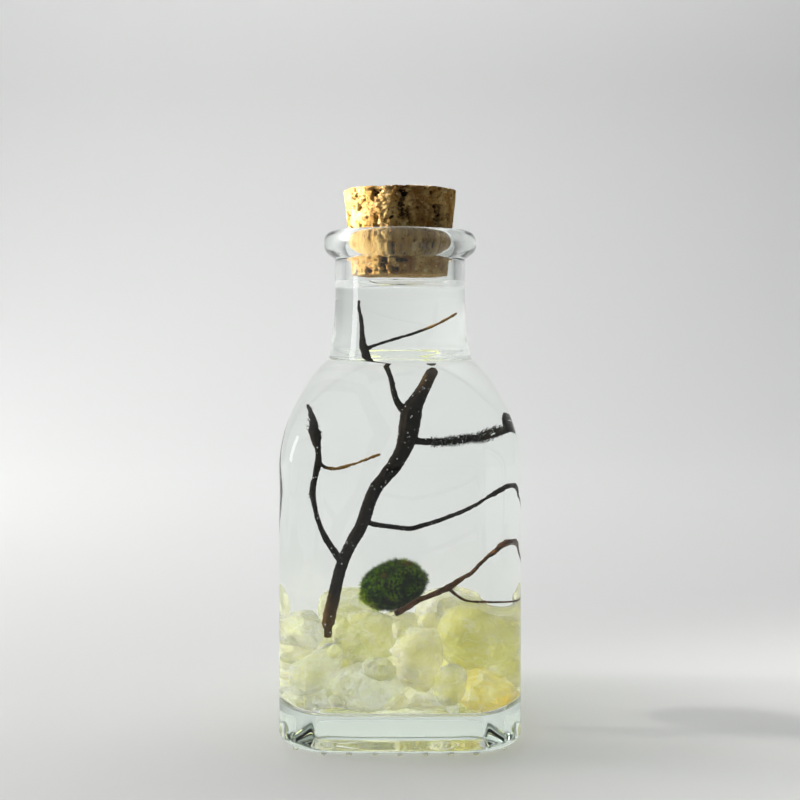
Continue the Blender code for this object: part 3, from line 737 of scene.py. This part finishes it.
def veinMask(material, scale, width):
    # thin winding lines where the noise crosses its middle
    place = node(material, "ShaderNodeTexCoord")
    pattern = node(material, "ShaderNodeTexNoise", {"Scale": scale, "Detail": 3})
    centred = node(material, "ShaderNodeMath", {1: 0.5}, operation="SUBTRACT")
    away = node(material, "ShaderNodeMath", operation="ABSOLUTE")
    line = node(material, "ShaderNodeMapRange", {"From Min": width, "From Max": 0})
    link(material, place.outputs["Object"], pattern.inputs["Vector"])
    link(material, pattern.outputs["Fac"], centred.inputs[0])
    link(material, centred.outputs[0], away.inputs[0])
    link(material, away.outputs[0], line.inputs["Value"])
    return line.outputs[0]


def stoneMaterial(name, look):
    made = principled(name, Roughness=stones["roughness"], IOR=optics["stone"] / optics["water"],
                      Transmission_Weight=look["clear"], Subsurface_Weight=stones["glow"],
                      Subsurface_Scale=stones["glowDepth"] * mm, Subsurface_Radius=stones["glowColour"])
    # cloudy inside, with white wisps and small dark flecks
    tone = addMottle(made, look["light"], look["dark"], *stones["mottle"])
    colour = mixColour(made, noiseMask(made, *stones["flecks"]), tone.outputs["Color"], look["dark"])
    veil = node(made, "ShaderNodeMath", {1: look["veil"]}, operation="MULTIPLY")
    link(made, noiseMask(made, *stones["veils"]), veil.inputs[0])
    colour = mixColour(made, veil.outputs[0], colour, stones["white"])
    colour = mixColour(made, veinMask(made, *stones["lines"]), colour, look["dark"])
    colour = mixColour(made, veinMask(made, *stones["cracks"]), colour, stones["crack"])
    link(made, colour, shaderOf(made).inputs["Base Color"])
    addBump(made, noiseMask(made, *stones["grain"]), stones["grainHeight"] * mm)
    absorb(made, look["light"], stones["density"])
    letShadowsThrough(made, stones["shadows"])
    return made


def wearFlat(stone, seed):
    # broad flats worn on all sides, whose edges are then rounded
    chance = random.Random(seed)
    verts = stone.data.vertices
    centre = sum((vert.co for vert in verts), Vector()) / len(verts)
    for _ in range(stones["flats"]):
        facing = Vector((chance.gauss(0, 1), chance.gauss(0, 1), chance.gauss(0, 1))).normalized()
        reach = max((vert.co - centre).dot(facing) for vert in verts)
        limit = reach * (1 - stones["flatDepth"] * chance.uniform(*stones["flatVaries"]))
        for vert in verts:
            over = (vert.co - centre).dot(facing) - limit
            if over > 0:
                vert.co -= facing * over * stones["worn"]
    applyModifier(stone, "SMOOTH", factor=0.5, iterations=stones["rounding"])


def tumble(stone, seed):
    wearFlat(stone, seed)
    displace(stone, stones["dentSize"] * mm, stones["dents"] * mm, middle=0.55, depth=1)
    displace(stone, stones["rippleSize"] * mm, stones["ripple"] * mm, middle=0.5, depth=2)
    applyModifier(stone, "SHRINKWRAP", target=pool, wrap_method="NEAREST_SURFACEPOINT", wrap_mode="INSIDE",
                  offset=stones["wallGap"] * mm)
    select(stone)
    bpy.ops.object.shade_smooth()


def makeStones():
    looks = {kind: stoneMaterial(kind + "Stone", look) for kind, look in stones["finish"].items()}
    for number, (place, kind) in enumerate(stones["kinds"].items()):
        stone = copyNode("stone_" + place, "stone" + "".join(word.title() for word in place.split("_")))
        applyModifier(stone, "SUBSURF", levels=3, render_levels=3)
        applyModifier(stone, "DISPLACE", strength=stones["swell"] * mm, mid_level=0)
        tumble(stone, stones["seed"] + number)
        dress(stone, looks[kind])
        ready(stone, "amber_stone" if kind == "amber" else "pale_stone", "stone_" + place)
    for number, (x, y, z, size, kind) in enumerate(stones["chips"]):
        deselectAll()
        bpy.ops.mesh.primitive_ico_sphere_add(subdivisions=5, radius=size * mm,
                                              location=(x * mm, y * mm, z * mm))
        chip = bpy.context.object
        chip.name = "stoneChip%d" % (number + 1)
        chip.scale = stones["chipShape"]
        chip.rotation_euler = (0.3 * math.sin(number), 0.4 * math.cos(2 * number), number)
        placeInMesh(chip)
        tumble(chip, stones["chipSeed"] + number)
        dress(chip, looks[kind])
        ready(chip, "amber_stone" if kind == "amber" else "pale_stone")
    return len(stones["kinds"]) + len(stones["chips"])


print("stones:", makeStones())


moss = dict(
    threads=9000, length=1.9, width=0.07, bend=0.35, lean=0.8, seed=3, shortest=0.45, tuft=2,
    core=1.4, lumps=1.4, lumpSize=2.2, tipsAndRimLightFrom=0.84,
    # the bright colour of the outer tips is partly the moss's lighter tips, partly painted rim light
    bright=(0.36, 0.50, 0.006), green=(0.09, 0.20, 0.003), dark=(0.006, 0.022, 0.002),
    brown=(0.16, 0.09, 0.010), mottle=(450, 5), specks=(1400, 0.46, 0.56, 2), patches=(200, 0.62, 0.74),
)


def threadMesh(name, width, length, bend):
    # one thread: a three-sided spike with one bend
    deselectAll()
    bpy.ops.mesh.primitive_circle_add(vertices=3, radius=width * mm, fill_type="NGON")
    thread = bpy.context.object
    thread.name = name
    startFaces()
    bpy.ops.mesh.extrude_region_move(TRANSFORM_OT_translate={"value": (0, 0, 0.55 * length * mm)})
    bpy.ops.transform.resize(value=(0.8, 0.8, 1))
    bpy.ops.mesh.extrude_region_move(TRANSFORM_OT_translate={"value": (bend * mm, 0, 0.45 * length * mm)})
    bpy.ops.mesh.merge(type="CENTER")
    faceOutwards()
    return thread


def scatter(carrier, sprig, count, seed, lean, low=0.6, clump=0, zone=""):
    # copies of the sprig stand all over the carrier's surface, made real and joined to it
    tree = bpy.data.node_groups.new(carrier.name + "Scatter", "GeometryNodeTree")
    tree.interface.new_socket("Geometry", in_out="INPUT", socket_type="NodeSocketGeometry")
    tree.interface.new_socket("Geometry", in_out="OUTPUT", socket_type="NodeSocketGeometry")
    start, end = node(tree, "NodeGroupInput"), node(tree, "NodeGroupOutput")
    weights = carrier.data.attributes[zone].data if zone else None
    area = sum(face.area * (weights[face.vertices[0]].value if zone else 1) for face in carrier.data.polygons)
    points = node(tree, "GeometryNodeDistributePointsOnFaces", {"Seed": seed, "Density": count / area})
    if zone:
        named = node(tree, "GeometryNodeInputNamedAttribute", {"Name": zone}, data_type="FLOAT")
        dense = node(tree, "ShaderNodeMath", {1: count / area}, operation="MULTIPLY")
        link(tree, named.outputs["Attribute"], dense.inputs[0])
        link(tree, dense.outputs[0], points.inputs["Density"])
    source = node(tree, "GeometryNodeObjectInfo", {"Object": sprig})
    tilt = node(tree, "FunctionNodeRandomValue", data_type="FLOAT_VECTOR")
    tilt.inputs["Min"].default_value = (-lean, -lean, 0)
    tilt.inputs["Max"].default_value = (lean, lean, 2 * math.pi)
    tilt.inputs["Seed"].default_value = seed
    turn = node(tree, "FunctionNodeRotateRotation", rotation_space="LOCAL")
    size = node(tree, "FunctionNodeRandomValue", {2: low, 3: 1.0, "Seed": seed + 1})
    scale = size.outputs[1]
    if clump:
        waves = node(tree, "ShaderNodeTexNoise", {"Scale": 1 / (clump * mm)})
        grow = node(tree, "ShaderNodeMapRange", {"From Min": 0.35, "From Max": 0.62, "To Min": 0.35})
        both = node(tree, "ShaderNodeMath", operation="MULTIPLY")
        link(tree, waves.outputs["Fac"], grow.inputs["Value"])
        link(tree, grow.outputs[0], both.inputs[0])
        link(tree, scale, both.inputs[1])
        scale = both.outputs[0]
    stand = node(tree, "GeometryNodeInstanceOnPoints")
    real = node(tree, "GeometryNodeRealizeInstances")
    joined = node(tree, "GeometryNodeJoinGeometry")
    link(tree, start.outputs[0], points.inputs["Mesh"])
    link(tree, points.outputs["Points"], stand.inputs["Points"])
    link(tree, source.outputs["Geometry"], stand.inputs["Instance"])
    link(tree, points.outputs["Rotation"], turn.inputs[0])
    link(tree, tilt.outputs["Value"], turn.inputs[1])
    link(tree, turn.outputs[0], stand.inputs["Rotation"])
    link(tree, scale, stand.inputs["Scale"])
    link(tree, stand.outputs["Instances"], real.inputs["Geometry"])
    link(tree, start.outputs[0], joined.inputs[0])
    link(tree, real.outputs[0], joined.inputs[0])
    link(tree, joined.outputs[0], end.inputs[0])
    applyModifier(carrier, "NODES", node_group=tree)


def mossMaterial():
    made = principled("mossThreads", Roughness=0.8, IOR=1.1, Specular_IOR_Level=0.2)
    place = node(made, "ShaderNodeTexCoord")
    low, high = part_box("moss_ball")
    centre, half = (low + high) / 2, (high - low) / 2
    away = node(made, "ShaderNodeVectorMath", {1: centre}, operation="SUBTRACT")
    shrink = node(made, "ShaderNodeVectorMath", {1: half}, operation="DIVIDE")
    reach = node(made, "ShaderNodeVectorMath", operation="LENGTH")
    # the outer part of the ball is painted brighter: partly lighter thread tips, partly painted rim light
    # from light coming through the fuzz
    tip = node(made, "ShaderNodeMapRange", {"From Min": moss["tipsAndRimLightFrom"], "From Max": 1.0})
    link(made, place.outputs["Object"], away.inputs[0])
    link(made, away.outputs[0], shrink.inputs[0])
    link(made, shrink.outputs[0], reach.inputs[0])
    link(made, reach.outputs["Value"], tip.inputs["Value"])
    tone = addMottle(made, moss["green"], moss["dark"], *moss["mottle"])
    colour = mixColour(made, tip.outputs[0], tone.outputs["Color"], moss["bright"])
    colour = mixColour(made, noiseMask(made, *moss["specks"]), colour, moss["dark"])
    colour = mixColour(made, noiseMask(made, *moss["patches"]), colour, moss["brown"])
    link(made, colour, shaderOf(made).inputs["Base Color"])
    return made


def makeBall():
    ball = copyNode("moss_ball", "mossBall")
    applyModifier(ball, "SUBSURF", levels=2, render_levels=2)
    applyModifier(ball, "DISPLACE", strength=-moss["core"] * mm, mid_level=0)
    displace(ball, moss["lumpSize"] * mm, moss["lumps"] * mm, middle=0.6, depth=2)
    thread = threadMesh("mossThread", moss["width"], moss["length"], moss["bend"])
    scatter(ball, thread, moss["threads"], moss["seed"], moss["lean"], low=moss["shortest"],
            clump=moss["tuft"])
    bpy.data.objects.remove(thread)
    select(ball)
    bpy.ops.object.shade_smooth()
    return ball


ball = makeBall()
dress(ball, mossMaterial())
ready(ball, "moss", "moss_ball")
print("moss ball:", len(ball.data.polygons), "faces")


# routes as the solids have them: x, y, z and the radius there, in millimetres
seaFan = dict(
    trunk=[(-19.8, -7.2, 24.6, 1.7), (-19.1, -7, 28, 1.8), (-17.6, -6, 34.2, 1.65), (-15.9, -5, 42.8, 1.6),
           (-12.7, -3.5, 49.5, 1.6), (-10.1, -3, 53.6, 1.8), (-8.4, -2.5, 59.2, 1.8), (-6.8, -2, 63.3, 1.75),
           (-3.7, -1.5, 66.9, 1.85), (-0.7, -1, 70.1, 1.9), (1.4, -0.3, 73.4, 2.3), (2.4, 0, 77, 2.9),
           (3, 0, 81, 2.9), (4.9, 0, 84, 1.9), (6.7, -0.4, 87, 1.65), (7.6, -1, 89.2, 1.55)],
    left=[(-15.4, -4.5, 43.8, 1.1), (-16.7, -5.4, 45.9, 0.95), (-19.5, -6, 50.2, 0.9),
          (-22.3, -6, 55.6, 0.85), (-23.7, -6, 60.9, 0.85), (-23.7, -6, 65, 0.9), (-22.7, -6, 68.7, 1.1),
          (-22, -6, 70.6, 1.3), (-22.2, -6, 73.3, 0.85), (-22.3, -6, 75.6, 0.75), (-21.4, -6, 78, 0.55),
          (-21.1, -6, 80.3, 0.4), (-21.6, -6, 81.6, 0.3)],
    twiglet=[(-21.4, -5.8, 70.2, 0.5), (-19.7, -5.2, 69.1, 0.4), (-17.1, -5, 68.8, 0.35),
             (-14, -4.5, 69.5, 0.35), (-10.9, -4, 70.2, 0.3), (-7.8, -3.5, 71.3, 0.35),
             (-5.2, -3, 71.9, 0.3)],
    middle=[(-9.1, -2.6, 54.8, 0.9), (-7.4, -2, 53.7, 0.75), (-3.2, -1, 53.1, 0.65), (1, 0.4, 52.3, 0.65),
            (3.5, 1, 52.1, 0.75), (5.9, 1.6, 52.8, 0.65), (10.8, 2, 54.3, 0.6), (17.2, 0.5, 57, 0.55),
            (20.2, -2, 59, 0.55), (22.7, -4, 60.6, 0.5), (24.4, -6, 61.8, 0.45), (24.7, -8, 62.9, 0.42),
            (25.7, -9.5, 64.7, 0.4), (26.1, -10, 65.7, 0.35)],
    upper=[(2.2, -0.2, 74.8, 1), (5.7, -0.6, 74.3, 0.75), (10.8, -1.5, 74.4, 0.75), (15, -2.5, 74.8, 0.85),
           (19.5, -3.5, 75.6, 0.8), (22.4, -5, 76, 0.75), (24.2, -8, 75.9, 0.65), (24.7, -9, 77, 0.55),
           (24.2, -10, 78.9, 0.45), (24.2, -10, 81, 0.35)],
    stem=[(2.2, 0.2, 80.5, 1.2), (0.2, 0.2, 82, 1), (-0.9, 0.2, 83.3, 0.85), (-1.7, 0.5, 85.4, 0.8),
          (-2.3, 1, 88.5, 0.7), (-3.7, 1.4, 91.8, 0.7), (-5.4, 1.4, 95.6, 0.75), (-7.7, 1, 99.4, 1),
          (-8, 0.8, 104.4, 0.55), (-8.1, 0.8, 109.2, 0.45), (-8.8, 0.5, 112.2, 0.38), (-8.8, 0, 114.5, 0.32)],
    prong=[(-7.7, 1, 99.4, 0.7), (-6, 0.5, 100.9, 0.5), (-1.6, -0.8, 103, 0.42), (3.2, -1.5, 104.9, 0.42),
           (7.6, -2, 107.2, 0.4), (10.6, -2, 109.2, 0.4), (12.7, -1.2, 110.9, 0.35)],
)
lyingTwig = dict(
    stem=[(-1.3, -8, 30.8, 0.85), (2.1, -7, 32.4, 0.8), (4.6, -6.5, 34.1, 0.75), (7.9, -5.5, 35.1, 0.75),
          (10.7, -5, 36.2, 0.8), (13.1, -5, 37.3, 1), (16.9, -6, 40.3, 0.6), (18.9, -6.5, 41.2, 0.6),
          (20.5, -7, 43.4, 0.6), (24.2, -8, 46.2, 0.5), (24.9, -9, 48, 0.42), (25.6, -10, 50, 0.4),
          (26, -10, 50.9, 0.35)],
    prong=[(13, -4.9, 37, 0.5), (14.1, -5, 35.8, 0.42), (16.9, -5.5, 33.9, 0.33), (19.3, -6, 33.6, 0.33),
           (24.4, -6, 33.6, 0.33), (25.8, -5, 33.2, 0.3)],
)
bark = dict(
    voxel=0.19, lumps=1.5, lumpHeight=0.34, grain=0.5, grainHeight=0.16,
    black=dict(light=(0.011, 0.008, 0.005), dark=(0.002, 0.0015, 0.001)),
    brown=dict(light=(0.14, 0.060, 0.022), dark=(0.006, 0.005, 0.003)),
    # the bubbles' pale white is a painted glint
    golden=(0.24, 0.13, 0.035), hairGrey=(0.24, 0.27, 0.25), bubbleGlint=(0.86, 0.90, 0.92),
    roughness=0.6, mottle=(700, 2.5), bumpHeight=0.12,
    hair=(0.05, 0.8, 0.2), bristle=(0.09, 0.32, 0.05),  # width, length and bend
    bubbleSize=0.17,
    # what grows on it: count, seed, lean, smallest size and where
    growths=[("hair", 1100, 5, 0.8, 0.5, "fuzz"), ("greyHair", 380, 8, 0.9, 0.5, "fuzz"),
             ("hair", 70, 12, 0.9, 0.4, "brush"), ("bristle", 1500, 9, 0.7, 0.3, "damp"),
             ("bubble", 260, 6, 0.3, 0.3, "damp")],
    fuzzReach=2.6, brushReach=1.2, dampReach=9,
)


def makeBranch(name, route):
    curve = bpy.data.curves.new(name, "CURVE")
    curve.dimensions = "3D"
    curve.bevel_depth = mm
    curve.bevel_resolution = 3
    curve.use_fill_caps = True
    curve.resolution_u = 8
    spline = curve.splines.new("NURBS")
    spline.points.add(len(route) - 1)
    for point, (x, y, z, radius) in zip(spline.points, route):
        point.co = (x * mm, y * mm, z * mm, 1)
        point.radius = radius
    spline.order_u = 3
    spline.use_endpoint_u = True
    branch = bpy.data.objects.new(name, curve)
    bpy.context.scene.collection.objects.link(branch)
    select(branch)
    bpy.ops.object.convert(target="MESH")
    return bpy.context.object


def makeTwig(name, routes):
    branches = [makeBranch(name + part.title(), route) for part, route in routes.items()]
    select(*branches)
    bpy.ops.object.join()
    twig = bpy.context.object
    twig.name = name
    twig.data.name = name
    applyModifier(twig, "REMESH", mode="VOXEL", voxel_size=bark["voxel"] * mm)
    applyModifier(twig, "SMOOTH", factor=0.5, iterations=3)
    displace(twig, bark["lumps"] * mm, bark["lumpHeight"] * mm, middle=0.5, depth=2)
    displace(twig, bark["grain"] * mm, bark["grainHeight"] * mm, middle=0.5, depth=1)
    select(twig)
    bpy.ops.object.shade_smooth()
    return twig


def barkMaterial(name, look):
    made = principled(name, Roughness=bark["roughness"], IOR=1.15, Specular_IOR_Level=0.25)
    tone = addMottle(made, look["light"], look["dark"], *bark["mottle"])
    warm = node(made, "ShaderNodeAttribute", attribute_name="warm")
    colour = mixColour(made, warm.outputs["Fac"], tone.outputs["Color"], bark["golden"])
    link(made, colour, shaderOf(made).inputs["Base Color"])
    addBump(made, tone.outputs["Height"], bark["bumpHeight"] * mm, 0.8)
    return made


def fuzzyParts(twig, name, routes, reach):
    # an attribute that is 1 near the given routes and 0 elsewhere
    zone = twig.data.attributes.new(name, "FLOAT", "POINT")
    places = [Vector(point[:3]) * mm for route in routes for point in route]
    for vert in twig.data.vertices:
        near = min((vert.co - place).length for place in places)
        zone.data[vert.index].value = 1.0 if near < reach * mm else 0.0


def warmParts(twig, routes):
    # thin ends and the foot are golden brown: each route comes with its share of that colour and its reach
    zone = twig.data.attributes.new("warm", "FLOAT", "POINT")
    places = [(Vector(point[:3]) * mm, share, reach * mm)
              for route, share, reach in routes for point in route]
    for vert in twig.data.vertices:
        zone.data[vert.index].value = max(share * max(0.0, 1 - (vert.co - place).length / reach)
                                          for place, share, reach in places)


darkBark = barkMaterial("darkBark", bark["black"])
brownBark = barkMaterial("brownBark", bark["brown"])
paleHair = principled("paleHair", Base_Color=bark["hairGrey"], Roughness=0.7)
# the air bubbles are a pale white surface: a painted glint that stands in for the light an air bubble in
# water throws back
glintingBubble = principled("glintingBubble", Base_Color=bark["bubbleGlint"], Roughness=0.15)

fan = makeTwig("seaFan", seaFan)
dress(fan, darkBark)
sprouts = dict(
    hair=threadMesh("barkHair", *bark["hair"]),
    greyHair=threadMesh("greyHair", *bark["hair"]),
    bristle=threadMesh("bristle", *bark["bristle"]),
)
bpy.ops.mesh.primitive_uv_sphere_add(segments=8, ring_count=6, radius=bark["bubbleSize"] * mm)
sprouts["bubble"] = bpy.context.object
bpy.ops.object.shade_smooth()
for name, look in dict(hair=darkBark, greyHair=paleHair, bristle=darkBark, bubble=glintingBubble).items():
    dress(sprouts[name], look)
fuzzyParts(fan, "fuzz", [seaFan["upper"][2:6]], bark["fuzzReach"])
fuzzyParts(fan, "brush", [seaFan["left"][-3:]], bark["brushReach"])
warmParts(fan, [(seaFan["twiglet"][2:], 1.7, 3), (seaFan["prong"][4:], 1.3, 3.5),
                (seaFan["trunk"][:2], 0.35, 9), (seaFan["trunk"][-1:], 0.14, 5)])
fuzzyParts(fan, "damp", [seaFan["trunk"], seaFan["left"], seaFan["upper"], seaFan["middle"][:5]],
           bark["dampReach"])
for name, count, seed, lean, smallest, zone in bark["growths"]:
    scatter(fan, sprouts[name], count, seed, lean, low=smallest, zone=zone)
for sprout in sprouts.values():
    bpy.data.objects.remove(sprout)
for zone in ("fuzz", "brush", "damp"):
    fan.data.attributes.remove(fan.data.attributes[zone])
ready(fan, "sea_fan", "sea_fan_trunk", "sea_fan_branch_left", "sea_fan_twiglet_left", "sea_fan_branch_middle",
      "sea_fan_branch_upper", "sea_fan_stem_neck", "sea_fan_prong_neck")
sprig = makeTwig("lyingTwig", lyingTwig)
dress(sprig, brownBark)
ready(sprig, "sea_fan", "lying_twig_stem", "lying_twig_prong")
print("twigs:", len(fan.data.polygons), len(sprig.data.polygons), "faces")


stage = dict(width=3.0, front=-1.2, back=0.75, height=1.8, curve=0.35, paper=(0.64, 0.64, 0.64))


def makeStage():
    bpy.ops.mesh.primitive_plane_add(size=1)
    floor = bpy.context.object
    floor.name = "paleSweep"
    floor.scale = (stage["width"], stage["back"] - stage["front"], 1)
    floor.location = (0, (stage["back"] + stage["front"]) / 2, 0)
    placeInMesh(floor)
    editMesh(floor)
    pick(floor, "EDGE", lambda edge: all(v.co.y > stage["back"] - mm for v in edge.verts))
    bpy.ops.mesh.extrude_edges_move(TRANSFORM_OT_translate={"value": (0, 0, stage["height"])})
    pick(floor, "EDGE", lambda edge: all(v.co.y > stage["back"] - mm and v.co.z < mm for v in edge.verts))
    bpy.ops.mesh.bevel(offset=stage["curve"], segments=24, affect="EDGES")
    bpy.ops.object.mode_set(mode="OBJECT")
    select(floor)
    bpy.ops.object.shade_smooth()
    dress(floor, principled("palePaper", Base_Color=stage["paper"], Roughness=0.9))


lamps = dict(
    leftBox=dict(place=(-1.1, 0.3, 0.2), aim=(0, 0, 0.1), size=(0.45, 0.4), power=7.2,
                 colour=(1.0, 0.985, 0.95), spread=95),
    leftStrip=dict(place=(-1.1, -0.12, 0.36), aim=(0, 0, 0.1), size=(0.22, 0.5), power=1.4,
                   colour=(1.0, 1.0, 1.0), spread=180, mirrored=True),
    corkLamp=dict(place=(-0.9, 0.1, 0.4), aim=(0, 0, 0.137), size=(0.06, 0.06), power=0.30,
                  colour=(1.0, 0.97, 0.92), spread=14),
    wallWash=dict(place=(-0.15, 0.2, 1.2), aim=(-0.25, 0.75, 0.65), size=(1.8, 0.6), power=16.5,
                  colour=(0.98, 1.0, 1.0), spread=180),
)


def addLight(name, place, aim, size, power, colour, spread, mirrored=False):
    bpy.ops.object.light_add(type="AREA", location=place)
    lamp = bpy.context.object
    lamp.name = name
    lamp.data.shape = "RECTANGLE"
    lamp.data.size, lamp.data.size_y = size
    lamp.data.energy = power
    lamp.data.color = colour
    lamp.rotation_euler = (Vector(aim) - Vector(place)).to_track_quat("-Z", "Y").to_euler()
    lamp.data.spread = math.radians(spread)
    lamp.visible_transmission = False
    lamp.visible_glossy = mirrored


makeStage()
for name, settings in lamps.items():
    addLight(name, **settings)

# the room is light to the eye, in glass and in gloss, most on the left, and dark for what it lights
room = dict(
    left=(0.78, 0.80, 0.79), right=(0.34, 0.36, 0.34), front=(0.30, 0.31, 0.29), fill=(0.022, 0.023, 0.021),
    leftToRight=(0, -0.9, 0.7), backToFront=(1, 0.2, -0.8),  # axis, and where the change starts and ends
)


def share(world, place, axis, low, high):
    span = node(world, "ShaderNodeMapRange", {"From Min": low, "From Max": high})
    link(world, place.outputs[axis], span.inputs["Value"])
    return span.outputs[0]


def makeRoom():
    world = bpy.data.worlds.new("softRoom")
    bpy.context.scene.world = world
    world.use_nodes = True
    place = node(world, "ShaderNodeTexCoord")
    split = node(world, "ShaderNodeSeparateXYZ")
    link(world, place.outputs["Generated"], split.inputs[0])
    across = share(world, split, *room["leftToRight"])
    ahead = share(world, split, *room["backToFront"])
    seen = mixColour(world, ahead, mixColour(world, across, room["left"], room["right"]), room["front"])
    path = node(world, "ShaderNodeLightPath")
    visible = path.outputs["Is Camera Ray"]
    for kind in ("Is Transmission Ray", "Is Glossy Ray"):
        either = node(world, "ShaderNodeMath", operation="MAXIMUM")
        link(world, visible, either.inputs[0])
        link(world, path.outputs[kind], either.inputs[1])
        visible = either.outputs[0]
    link(world, mixColour(world, visible, room["fill"], seen),
         world.node_tree.nodes["Background"].inputs["Color"])


makeRoom()
print("stage and lights:", len(lamps), "lamps")

scene = bpy.context.scene
scene.view_settings.view_transform = "Standard"
scene.cycles.max_bounces = 24
scene.cycles.transmission_bounces = 24
scene.cycles.transparent_max_bounces = 24
